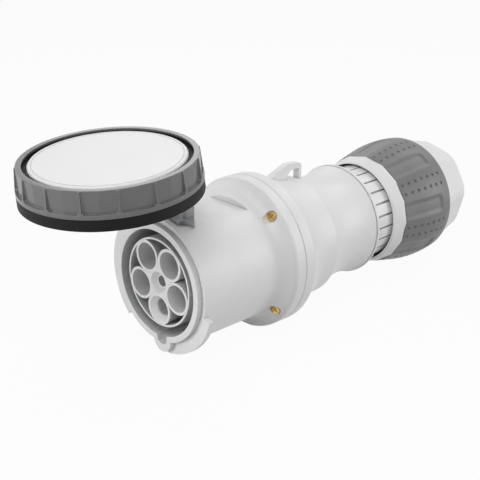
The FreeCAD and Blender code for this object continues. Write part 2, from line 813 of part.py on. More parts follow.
# Carrier plate that clamps the contacts against the insert, and its screws
carrier_blank = turned("carrier_blank", (
    (insert_back, carrier_radius - s.carrier_rim_wall),
    (insert_back, carrier_radius),
    (carrier_back, carrier_radius),
    (carrier_back, ZERO),
    (flange_seat, ZERO),
    (flange_seat, carrier_radius - s.carrier_rim_wall),
))
carrier_through = s.carrier_thickness + s.contact_flange + s.cut_margin * 2
carrier_cuts = [
    rod("carrier_pilot", pilot_hole, insert_back - s.cut_margin, carrier_through),
    rod("carrier_earth", earth_hole, insert_back - s.cut_margin, carrier_through, earth_clock, s.pole_circle),
]
for index, clock in enumerate(line_clocks):
    carrier_cuts.append(rod(f"carrier_line_{index}", contact_hole, insert_back - s.cut_margin, carrier_through,
                            clock, s.pole_circle))
carrier_fasteners = []
for index, clock in enumerate(carrier_clocks):
    carrier_cuts.append(rod(f"carrier_screw_hole_{index}", s.carrier_screw_radius + s.contact_clearance,
                            insert_back - s.cut_margin, carrier_through, clock, carrier_circle))
    start = web_back - s.carrier_screw_bite
    stem = rod(f"carrier_stem_{index}", s.carrier_screw_radius, start,
               carrier_back - start + s.cut_margin * HALF,
               clock, carrier_circle)
    head = rod(f"carrier_head_{index}", s.carrier_screw_head, carrier_back, s.carrier_screw_head_height, clock,
               carrier_circle)
    carrier_fasteners.append(fuse(f"carrier_screw_{index}", stem, head))
contact_carrier = cut("contact_carrier", carrier_blank, *carrier_cuts)
carrier_screws = group("carrier_screws", *carrier_fasteners)

# Lid sizes that the hinge shares
lid_setback = s.gasket_seat + s.gasket_thickness + s.gasket_clearance
liner_bore = bayonet_outer + s.lid_clearance
liner_outer = liner_bore + s.liner_wall
ring_inner = liner_outer + s.liner_clearance
ring_radius = ring_inner + s.ring_wall
band_bottom = s.ring_height + s.band_height
arm_bottom = barrel_radius + s.arm_gap
arm_top = arm_bottom + s.arm_thickness
hinge_x = band_bottom - lid_setback + s.hinge_gap
hinge_z = arm_top + s.hinge_rise

# Hinge bracket on the barrel's flat: a winged foot and two cheeks
cheek_outer = s.cheek_gap + s.cheek_thickness
base_top = flat_z + s.base_thickness
base_front = flat_start + s.base_lead
wing_x = flat_start + s.wing_start
tip_x = flat_start + s.wing_reach
cheek_front_x = hinge_x - s.cheek_front
cheek_back_x = hinge_x - s.cheek_back
neck_z = hinge_z - s.cheek_neck_drop
lean_cos = s.knuckle_radius * cosine(s.lid_open_angle * HALF)
lean_sin = s.knuckle_radius * sine(s.lid_open_angle * HALF)
cheek_plate = plate("cheek_plate", (
    (cheek_front_x, flat_z + s.base_thickness * HALF),
    (cheek_back_x, flat_z + s.base_thickness * HALF),
    (cheek_back_x, neck_z),
    (hinge_x + lean_cos, hinge_z - lean_sin),
    (hinge_x - lean_cos, hinge_z + lean_sin),
    (cheek_front_x, neck_z + s.cut_margin),
), cheek_outer)
foot_half = (s.base_thickness + s.wing_drop) * HALF
foot_plate = plate("bracket_foot", (
    (base_front, -s.base_half_width),
    (wing_x, -s.base_half_width),
    (tip_x, -s.wing_half_width),
    (cheek_back_x, -cheek_outer),
    (cheek_back_x, cheek_outer),
    (tip_x, s.wing_half_width),
    (wing_x, s.base_half_width),
    (base_front, s.base_half_width),
), foot_half, FreeCAD.Rotation())
put(foot_plate, ZERO, ZERO, base_top - foot_half)
barrel_body = rod("barrel_body", barrel_radius + s.bracket_clearance, ZERO, s.barrel_length)
barrel_seat = cut("barrel_seat", barrel_body, flat_tool)
winged_foot = cut("winged_foot", foot_plate, barrel_seat)
cheek_knuckle = doc.addObject("Part::Cylinder", "cheek_knuckle")
bind(cheek_knuckle, Radius=s.knuckle_radius, Height=cheek_outer * 2)
put(cheek_knuckle, hinge_x, cheek_outer, hinge_z, UPRIGHT)
bracket_solid = fuse("bracket_solid", cheek_plate, winged_foot, cheek_knuckle)
cheek_space = box("cheek_space", ZERO, -s.cheek_gap, base_top, wide, s.cheek_gap * 2, wide)
cheek_bore = doc.addObject("Part::Cylinder", "cheek_bore")
bind(cheek_bore, Radius=s.pin_radius, Height=wide)
put(cheek_bore, hinge_x, flange_radius, hinge_z, UPRIGHT)
hinge_bracket = cut("hinge_bracket", bracket_solid, cheek_space, cheek_bore)
hinge_pin = doc.addObject("Part::Cylinder", "hinge_pin")
bind(hinge_pin, Radius=s.pin_radius, Height=(cheek_outer + s.pin_overhang) * 2)
put(hinge_pin, hinge_x, cheek_outer + s.pin_overhang, hinge_z, UPRIGHT)

# Lid pieces are drawn shut and then swung open about the hinge pin
swing_x = -(lid_setback + hinge_x)
swing_z = -hinge_z
lid_x = hinge_x + swing_x * cosine(s.lid_open_angle) + swing_z * sine(s.lid_open_angle)
lid_z = hinge_z - swing_x * sine(s.lid_open_angle) + swing_z * cosine(s.lid_open_angle)
lid_turn = FreeCAD.Rotation(AXIS_Y, s.lid_open_angle.number)
pin_along = hinge_x + lid_setback


def swing_open(item):
    put(item, lid_x, ZERO, lid_z, lid_turn)
    return item


cap_bottom = s.cap_flange_top + s.cap_flange_thickness
cap_flange_radius = liner_bore + s.cap_bite
liner_lip_radius = liner_bore - s.liner_lip_reach
disc_radius = liner_lip_radius - s.disc_gap
disc_ring_radius = disc_radius - s.disc_ring_inset
gasket_outer = barrel_radius - s.gasket_inset
gasket_inner = collar_bore - s.gasket_lap
lug_inner = bayonet_outer - s.lug_reach
groove_inner_edge = disc_ring_radius - s.disc_ring_width
cap_turned = turned("cap_turned", (
    (s.disc_top, ZERO),
    (s.disc_top, groove_inner_edge),
    (s.disc_top + s.disc_ring_depth, groove_inner_edge),
    (s.disc_top + s.disc_ring_depth, disc_ring_radius),
    (s.disc_top, disc_ring_radius),
    (s.disc_top, disc_radius - s.disc_bevel),
    (s.disc_top + s.disc_bevel, disc_radius),
    (s.cap_flange_top, disc_radius),
    (s.cap_flange_top, cap_flange_radius),
    (cap_bottom, cap_flange_radius),
    (cap_bottom, gasket_outer + s.gasket_clearance),
    (s.gasket_seat, gasket_outer + s.gasket_clearance),
    (s.gasket_seat, ZERO),
))
arm_front = band_bottom + s.arm_front_gap
arm_back = band_bottom + s.arm_back_gap
arm_plate = plate("arm_plate", (
    (cap_bottom - s.cap_flange_thickness * HALF, arm_bottom),
    (arm_back, arm_bottom),
    (pin_along + lean_cos, hinge_z - lean_sin),
    (pin_along - lean_cos, hinge_z + lean_sin),
    (arm_front, arm_top + s.arm_rise),
    (arm_front, arm_top),
    (cap_bottom - s.cap_flange_thickness * HALF, arm_top),
), s.arm_half_width)
arm_knuckle = doc.addObject("Part::Cylinder", "arm_knuckle")
bind(arm_knuckle, Radius=s.knuckle_radius, Height=s.arm_half_width * 2)
put(arm_knuckle, pin_along, s.arm_half_width, hinge_z, UPRIGHT)
cap_solid = fuse("cap_solid", cap_turned, arm_plate, arm_knuckle)
arm_bore = doc.addObject("Part::Cylinder", "arm_bore")
bind(arm_bore, Radius=s.pin_radius + s.pin_fit, Height=wide)
put(arm_bore, pin_along, flange_radius, hinge_z, UPRIGHT)
lid_cap = swing_open(cut("lid_cap", cap_solid, arm_bore))

lid_gasket = swing_open(ring("lid_gasket", s.gasket_seat, s.gasket_thickness, gasket_inner, gasket_outer))

liner_neck = liner_outer - s.liner_step
ring_neck = ring_inner - s.liner_step
ring_crown = liner_bore + s.ring_shoulder
wall_end = s.ring_height - s.ring_straight
ring_turned = turned("ring_turned", (
    (ZERO, liner_bore),
    (ZERO, liner_bore + s.ring_top_width),
    (s.ring_edge, ring_crown),
    (wall_end, ring_radius),
    (s.ring_height, ring_radius),
    (s.ring_height, ring_inner),
    (s.liner_step_depth, ring_inner),
    (s.liner_step_depth, ring_neck),
    (s.ring_lip, ring_neck),
    (s.ring_lip, liner_bore),
))
recess_floor = ring_crown - s.recess_depth
recess_band = ring("recess_band", -s.cut_margin, s.recess_end + s.cut_margin, recess_floor - s.recess_depth,
                   ring_radius + s.cut_margin)
facet_core = prism("facet_core", s.facet_count, recess_floor, -s.cut_margin * 2,
                   s.recess_end + s.cut_margin * 4, s.ridge_clock)
ridge_half = s.ridge_width * HALF
ridge_foot = ridge_half + s.recess_corner
ridges = []
for index, clock in enumerate(clocks(s.ridge_clock, s.ridge_count)):
    ridge = plate(f"ridge_{index}", (
        (-s.cut_margin * 2, -ridge_half),
        (s.recess_end - s.recess_corner, -ridge_half, s.recess_corner),
        (s.recess_end, -ridge_foot),
        (s.recess_end + s.cut_margin, -ridge_foot),
        (s.recess_end + s.cut_margin, ridge_foot),
        (s.recess_end, ridge_foot, s.recess_corner),
        (s.recess_end - s.recess_corner, ridge_half),
        (-s.cut_margin * 2, ridge_half),
    ), s.ring_shoulder * 2, clock_turn(clock))
    side, height = clock_point(ring_radius, clock)
    put(ridge, ZERO, side, height)
    ridges.append(ridge)
recess_tool = cut("recess_tool", recess_band, facet_core, *ridges)
bayonet_ring = swing_open(cut("bayonet_ring", ring_turned, recess_tool))

groove_top = s.cap_flange_top - s.cap_play
groove_bottom = cap_bottom + s.cap_play
groove_radius = cap_flange_radius + s.cap_groove_gap
liner_turned = turned("liner_turned", (
    (s.ring_lip, liner_bore),
    (s.ring_lip, liner_neck),
    (s.liner_step_depth, liner_neck),
    (s.liner_step_depth, liner_outer),
    (s.ring_height, liner_outer),
    (s.ring_height, ring_radius - s.band_inset),
    (band_bottom, ring_radius - s.band_inset),
    (band_bottom, liner_bore + s.liner_flare),
    (s.liner_flare_start, liner_bore),
    (groove_bottom, liner_bore),
    (groove_bottom, groove_radius),
    (groove_top, groove_radius),
    (groove_top, liner_lip_radius),
    (s.liner_lip_top, liner_lip_radius),
    (s.liner_lip_top, liner_bore),
))
lug_top = lid_setback + s.rim_depth + s.bayonet_thickness + s.lug_gap
lugs = []
for index in (0, -1):
    clock = s.lug_clock + s.bayonet_pitch * index
    wedge = rod(f"lug_wedge_{-index}", liner_bore + s.lug_root, lug_top, s.lug_thickness, clock,
                sweep=s.lug_sweep)
    hollow = rod(f"lug_hollow_{-index}", lug_inner, lug_top - s.cut_margin, s.lug_thickness + s.cut_margin * 2)
    lugs.append(cut(f"lug_{-index}", wedge, hollow))
ring_liner = swing_open(fuse("ring_liner", liner_turned, *lugs))

# Rear housing: flange, shoulder, waisted neck, bulge, ribbed collar and threaded spigot
seal_radius = s.seal_bore + s.seal_wall
gland_bore = seal_radius + s.seal_clearance
spigot_radius = gland_bore + s.spigot_wall
collar_radius = spigot_radius + s.collar_step
neck_radius = collar_radius + s.neck_step
bulge_radius = collar_radius + s.bulge_step
inner_radius = groove_inner - s.seam_land
rear_edge = seam_x + s.rear_flange
edge_x = rear_edge + s.edge_round * sine(s.edge_slope)
edge_radius = flange_radius - s.edge_round + s.edge_round * cosine(s.edge_slope)
shoulder_x = edge_x + s.shoulder_length
shoulder_radius = edge_radius - s.shoulder_drop
belt_x = shoulder_x + s.belt_length
belt_radius = shoulder_radius - s.belt_drop
neck_x = belt_x + s.taper_length
neck_end = neck_x + s.neck_length
bulge_x = neck_end + s.bulge_rise
bulge_end = bulge_x + s.bulge_length
tail_x = bulge_end + s.tail_round
collar_x = tail_x + s.tail_cone
collar_end = collar_x + s.collar_length
spigot_end = collar_end + s.spigot_length
rear_turned = turned("rear_turned", (
    (seam_x, inner_radius),
    (seam_x, flange_radius - s.seam_chamfer),
    (seam_x + s.seam_chamfer, flange_radius),
    (rear_edge, flange_radius, -s.edge_round),
    (edge_x, edge_radius, s.shoulder_round),
    (shoulder_x, shoulder_radius),
    (belt_x, belt_radius, s.taper_round),
    (neck_x, neck_radius),
    (neck_end, neck_radius, s.bulge_hollow),
    (bulge_x, bulge_radius),
    (bulge_end, bulge_radius, -s.tail_round),
    (tail_x, bulge_radius - s.tail_round),
    (collar_x, collar_radius),
    (collar_end, collar_radius),
    (collar_end, spigot_radius),
    (spigot_end, spigot_radius),
    (spigot_end, gland_bore),
    (collar_x + s.bore_lead, gland_bore),
    (seam_x + s.inner_middle, inner_radius - s.inner_taper),
    (seam_x + s.inner_straight, inner_radius),
))
eye_base = shoulder_radius - s.eye_root
eye_front = seam_x + s.eye_front
eye_end = seam_x + s.eye_end
eye_plate = plate("eye_plate", (
    (eye_front, eye_base),
    (eye_end, eye_base),
    (eye_end, flange_radius - s.eye_end_drop, s.eye_corner),
    (seam_x + s.eye_back, flange_radius + s.eye_back_rise),
    (seam_x + s.eye_crest, flange_radius + s.eye_crest_rise),
    (eye_front, flange_radius - s.eye_front_drop),
), s.eye_thickness * HALF)
hole_front = eye_front + s.eye_web_front
hole_back = eye_end - s.eye_web_back
hole_top = flange_radius + s.eye_crest_rise - s.eye_web_top
eye_hole = plate("eye_hole", (
    (hole_front, eye_base),
    (hole_back, eye_base),
    (hole_back, hole_top),
    (hole_front + s.eye_hole_shoulder, hole_top, s.eye_hole_round),
    (hole_front, hole_top - s.eye_hole_shoulder),
), s.eye_thickness)
eye = cut("eye", eye_plate, eye_hole)
rear_solid = fuse("rear_solid", rear_turned, eye)
rear_cuts = [
    ring("bead_groove", bulge_x - s.bead_groove_width, s.bead_groove_width, bulge_radius - s.bead_groove_depth,
         bulge_radius + s.cut_margin),
    ring("rear_groove", seam_x - s.cut_margin, s.seam_gasket_half + s.cut_margin, groove_inner, groove_outer),
    box("rear_rest_cut", seam_x - s.cut_margin, -flange_radius, -(rest_drop + wide),
        s.rear_flange + s.shoulder_length, wide, wide),
]
for index, clock in enumerate(screw_clocks):
    rear_cuts.append(rod(f"insert_hole_{index}", s.insert_nut_radius, seam_x - s.cut_margin,
                         s.screw_reach + s.insert_nut_relief + s.cut_margin, clock, screw_circle))
slit_x = collar_x + s.slit_lead
for index, clock in enumerate(clocks(s.slit_clock, s.slit_count)):
    rear_cuts.append(block(f"slit_{index}", slit_x, s.collar_length, clock, collar_radius - s.slit_depth,
                           s.slit_depth * 2, s.slit_width))
rear_housing = cut("rear_housing", rear_solid, *rear_cuts)

# Cable gland: seal, thrust washer and slotted clamp cage pushed in by the nut
nut_x = collar_x + s.nut_lead
nut_mouth = collar_radius + s.nut_gap
nut_core_radius = nut_mouth + s.nut_wall
nut_front_radius = nut_mouth + s.nut_lip
nut_shoulder_radius = nut_core_radius + s.nut_shoulder
thread_bore = spigot_radius + s.thread_play
grip_x = nut_x + s.nut_lip_length
grip_end = grip_x + s.grip_length
nut_end_x = grip_end + s.end_length
entry_x = nut_end_x - s.entry_length
thread_x = nut_x + s.nut_mouth_depth
cage_bore = s.seal_bore + s.washer_clearance
cage_radius = thread_bore - s.cage_play
seal_x = spigot_end - s.seal_seat
seal_end = seal_x + s.seal_length
washer_end = seal_end + s.washer_thickness
gland_seal = ring("gland_seal", seal_x, s.seal_length, s.seal_bore, seal_radius)
thrust_washer = ring("thrust_washer", seal_end, s.washer_thickness, cage_bore, seal_radius)
drum_x = washer_end + s.cage_step
drum_end = drum_x + s.cage_drum
cone_slope = (thread_bore - s.seal_bore) / (entry_x - drum_end - s.cage_gap)
nose_end = entry_x - s.cage_nose_short
nose_radius = s.seal_bore + cone_slope * (entry_x - nose_end) - s.cage_gap * 2
cage_turned = turned("cage_turned", (
    (washer_end, cage_bore),
    (washer_end, seal_radius),
    (drum_x, seal_radius),
    (drum_x, cage_radius),
    (drum_end, cage_radius),
    (nose_end, nose_radius),
    (nose_end, cage_bore),
))
cage_cuts = []
for index, clock in enumerate(clocks(ZERO, s.cage_slots)):
    cage_cuts.append(block(f"cage_slot_{index}", drum_end, nose_end - drum_end + s.cut_margin, clock,
                           cage_bore - s.cut_margin, collar_radius, s.cage_slot_width))
clamp_cage = cut("clamp_cage", cage_turned, *cage_cuts)

# Gland nut: faceted mouth ring, core under the grip, tapered eight-sided end
nut_cone_x = drum_end + s.cage_gap
nut_front = turned("nut_front", (
    (nut_x, nut_mouth),
    (nut_x, nut_front_radius - s.nut_front_chamfer),
    (nut_x + s.nut_front_chamfer, nut_front_radius),
    (grip_x, nut_shoulder_radius),
    (grip_x, nut_core_radius),
    (grip_end, nut_core_radius),
    (grip_end, nut_mouth),
))
nut_prism = prism("nut_prism", s.nut_facets, nut_shoulder_radius, nut_x - s.cut_margin,
                  grip_end - nut_x + s.cut_margin * 2, ZERO)
mouth_ring = doc.addObject("Part::Common", "mouth_ring")
mouth_ring.Base = nut_front
mouth_ring.Tool = nut_prism
nut_core = rod("nut_core", nut_core_radius, thread_x, grip_end - thread_x)
end_sections = []
end_tip_radius = nut_core_radius - s.end_tip_drop
round_x = nut_end_x - s.end_round
end_stations = (
    ("end_root", grip_end, nut_core_radius + s.end_corner),
    ("end_tip", nut_end_x, end_tip_radius),
)
for name, x, radius in end_stations:
    section = doc.addObject("Part::RegularPolygon", name)
    section.Polygon = int(s.end_sides.number)
    bind(section, Circumradius=radius)
    put(section, x, ZERO, ZERO, clock_turn(s.end_clock).multiply(ALONG_X))
    end_sections.append(section)
end_loft = doc.addObject("Part::Loft", "end_loft")
end_loft.Sections = end_sections
end_loft.Solid = True
end_loft.Ruled = True
end_envelope = turned("end_envelope", (
    (grip_end, ZERO),
    (grip_end, nut_core_radius + s.end_step),
    (round_x, end_tip_radius, -s.end_round),
    (nut_end_x, end_tip_radius - s.end_round),
    (nut_end_x, ZERO),
))
nut_end = doc.addObject("Part::Common", "nut_end")
nut_end.Base = end_envelope
nut_end.Tool = end_loft
nut_solid = fuse("nut_solid", mouth_ring, nut_core, nut_end)
nut_bore = turned("nut_bore", (
    (nut_x - s.cut_margin, ZERO),
    (nut_x - s.cut_margin, nut_mouth),
    (thread_x, nut_mouth),
    (thread_x, thread_bore),
    (nut_cone_x, thread_bore),
    (entry_x, s.seal_bore),
    (nut_end_x + s.cut_margin, s.seal_bore),
    (nut_end_x + s.cut_margin, ZERO),
))
gland_nut = cut("gland_nut", nut_solid, nut_bore)

# Moulded grip over the nut, crowned, with eight finger hollows
grip_front_radius = nut_core_radius + s.grip_front_wall
grip_back_radius = nut_core_radius + s.grip_back_wall
crown_x = grip_x + s.grip_cone
crown_start = nut_core_radius + s.grip_cone_rise
grip_turned = turned("grip_turned", (
    (grip_x, nut_core_radius + s.grip_clearance),
    (grip_x, grip_front_radius),
    (crown_x, crown_start, -s.grip_crown),
    (grip_end, grip_back_radius),
    (grip_end, nut_core_radius + s.grip_clearance),
))
flute_front = grip_x + s.flute_lead
flute_back = flute_front + s.flute_length
crown_half = (grip_end - crown_x) * HALF
crown_rise = s.grip_crown - root(s.grip_crown * s.grip_crown - crown_half * crown_half)
crown_radius = (crown_start + grip_back_radius) * HALF + crown_rise
flute_centre = crown_radius - s.flute_depth + s.flute_tool
flutes = []
for index, clock in enumerate(clocks(s.flute_clock, s.flute_count)):
    shaft = rod(f"flute_shaft_{index}", s.flute_tool, flute_front, flute_back - flute_front, clock,
                flute_centre)
    ends = []
    side, height = clock_point(flute_centre, clock)
    for tag, x in (("front", flute_front), ("back", flute_back)):
        ball = doc.addObject("Part::Sphere", f"flute_{tag}_{index}")
        bind(ball, Radius=s.flute_tool)
        put(ball, x, side, height)
        ends.append(ball)
    flutes.append(fuse(f"flute_{index}", shaft, *ends))
gland_grip = cut("gland_grip", grip_turned, *flutes)

doc.recompute()

NODES = (
    front_housing, socket_sleeve, socket_floor, housing_screws, thread_inserts, seam_gasket, contact_insert,
    socket_tubes, insert_sleeve, insert_hub, *contacts, pilot, terminal_screws, contact_carrier,
    carrier_screws, hinge_bracket, hinge_pin, lid_cap, lid_gasket, bayonet_ring, ring_liner, rear_housing,
    gland_seal, thrust_washer, clamp_cage, gland_nut, gland_grip,
)

for item in doc.Objects:
    if "Invalid" in item.State or "Error" in item.State:
        raise RuntimeError(f"{item.Label} failed to build: {item.State}")
os.makedirs("parts", exist_ok=True)
for node in NODES:
    if node.Shape.isNull() or not node.Shape.isValid():
        raise RuntimeError(f"{node.Label} has no valid shape")
    node.Shape.exportStep(f"parts/{node.Label}.step")
    print(f"{node.Label:18s} solids {len(node.Shape.Solids)} volume {node.Shape.Volume:12.1f}")
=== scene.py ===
"""Looks of a watertight in-line power connector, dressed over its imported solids."""

import logging
import math
from dataclasses import dataclass, field
from enum import Enum
from typing import ClassVar

import bmesh
import bpy
from mathutils import Matrix, Vector


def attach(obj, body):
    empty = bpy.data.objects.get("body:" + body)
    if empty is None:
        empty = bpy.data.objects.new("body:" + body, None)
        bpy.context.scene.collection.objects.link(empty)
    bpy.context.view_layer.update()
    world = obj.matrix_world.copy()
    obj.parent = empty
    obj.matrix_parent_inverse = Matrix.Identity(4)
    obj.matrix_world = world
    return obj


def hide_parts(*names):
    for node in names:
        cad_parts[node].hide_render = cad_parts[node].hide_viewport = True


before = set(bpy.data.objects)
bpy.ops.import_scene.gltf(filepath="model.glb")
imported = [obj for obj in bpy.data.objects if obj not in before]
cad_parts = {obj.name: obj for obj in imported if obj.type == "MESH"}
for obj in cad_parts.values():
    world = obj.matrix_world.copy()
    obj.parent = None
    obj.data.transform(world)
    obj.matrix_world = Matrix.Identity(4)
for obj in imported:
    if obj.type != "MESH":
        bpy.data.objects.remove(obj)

LOG = logging.getLogger("connector")
Colour = tuple[float, float, float]
Point = tuple[float, float, float]
Socket = bpy.types.NodeSocket
Operand = Socket | float | Colour
PLAIN_WHITE: Colour = (1.0, 1.0, 1.0)
MM = 0.001
HALF = 0.5
FULL_TURN = 360.0
SHADE_SAMPLES = 6


class Group(Enum):
    """Shader node groups that several finishes share."""

    GRAIN = "moulded_grain"
    EDGES = "softened_edges"
    TURNING = "turning_marks"
    CREASE = "crease_shade_and_dust"


@dataclass(frozen=True)
class Octaves:
    """How a noise is built up.

    Attributes:
        detail: Number of octaves.
        roughness: Weight of the finer octaves.
    """

    detail: float
    roughness: float


@dataclass
class NodeBench:
    """Places and wires nodes in one tree.

    Attributes:
        tree: The material's or group's node tree.
    """

    tree: bpy.types.NodeTree

    def add(self, kind: str, **settings: object) -> bpy.types.Node:
        """Add a node and set its properties.

        Args:
            kind: Blender's node type name.
            **settings: Node properties to set.

        Returns:
            The new node.
        """
        node = self.tree.nodes.new(kind)
        for name, value in settings.items():
            setattr(node, name, value)
        return node

    def wire(self, source: Socket, target: Socket) -> None:
        """Link an output socket to an input socket."""
        self.tree.links.new(source, target)

    def feed(self, target: Socket, operand: Operand) -> None:
        """Link an input to a socket, or set it to a plain value.

        Args:
            target: Input socket.
            operand: Output socket, number or colour.
        """
        if isinstance(operand, Socket):
            self.wire(operand, target)
        elif isinstance(operand, tuple):
            target.default_value = (*operand, 1.0)
        else:
            target.default_value = operand

    def group(self, tree: bpy.types.NodeTree, values: dict[str, float]) -> bpy.types.Node:
        """Place a shared node group with its own values.

        Args:
            tree: The group's node tree.
            values: Input names with their numbers.

        Returns:
            The group node.
        """
        node = self.add("ShaderNodeGroup", node_tree=tree)
        for name, value in values.items():
            node.inputs[name].default_value = value
        return node

    def calc(self, operation: str, *operands: Operand, clamp: bool = False) -> Socket:
        """A math node whose operands are sockets or plain numbers.

        Args:
            operation: Math operation name.
            *operands: Sockets or numbers, in the operation's order.
            clamp: Whether the result is kept between 0 and 1.

        Returns:
            The result socket.
        """
        node = self.add("ShaderNodeMath", operation=operation, use_clamp=clamp)
        for target, operand in zip(node.inputs, operands):
            self.feed(target, operand)
        return node.outputs[0]

    def noise(self, where: Socket, scale: Operand, octaves: Octaves) -> Socket:
        """A noise value at a place.

        Args:
            where: Coordinate socket.
            scale: Number or socket, features per metre.
            octaves: How the noise is built up.

        Returns:
            The noise value socket.
        """
        node = self.add("ShaderNodeTexNoise", noise_dimensions="3D")
        self.wire(where, node.inputs["Vector"])
        self.feed(node.inputs["Scale"], scale)
        node.inputs["Detail"].default_value = octaves.detail
        node.inputs["Roughness"].default_value = octaves.roughness
        return node.outputs["Fac"]

    def blend(self, factor: Socket, first: Operand, second: Operand) -> Socket:
        """Mix two colours by a factor.

        Args:
            factor: Mask socket.
            first: Colour or socket at 0.
            second: Colour or socket at 1.

        Returns:
            The mixed colour socket.
        """
        node = self.add("ShaderNodeMix", data_type="RGBA")
        self.wire(factor, node.inputs["Factor"])
        for name, operand in (("A", first), ("B", second)):
            target = next(item for item in node.inputs if item.name == name and item.type == "RGBA")
            self.feed(target, operand)
        return next(item for item in node.outputs if item.type == "RGBA")

    def relief(self, height: Socket, normal: Socket, strength: float, depth: float) -> Socket:
        """A bump that starts from a softened normal.

        Args:
            height: Height socket.
            normal: Softened normal socket.
            strength: Bump strength.
            depth: Height of the relief in metres.

        Returns:
            The bumped normal socket.
        """
        bump = self.add("ShaderNodeBump")
        bump.inputs["Strength"].default_value = strength
        bump.inputs["Distance"].default_value = depth
        self.wire(height, bump.inputs["Height"])
        self.wire(normal, bump.inputs["Normal"])
        return bump.outputs["Normal"]


def new_material(name: str) -> tuple[bpy.types.Material, NodeBench, bpy.types.Node]:
    """A new material with a plain surface.

    Args:
        name: Material name.

    Returns:
        The material, a bench on its tree and its surface node.
    """
    made = bpy.data.materials.new(name)
    made.use_nodes = True
    return made, NodeBench(made.node_tree), made.node_tree.nodes["Principled BSDF"]


def new_piece(name: str, mesh: bmesh.types.BMesh) -> bpy.types.Object:
    """Turn a mesh under work into an object of the scene.

    Args:
        name: Name of the object and its mesh.
        mesh: The mesh under work, which is freed.

    Returns:
        The new object.
    """
    data = bpy.data.meshes.new(name)
    mesh.to_mesh(data)
    mesh.free()
    piece = bpy.data.objects.new(name, data)
    bpy.context.scene.collection.objects.link(piece)
    return piece


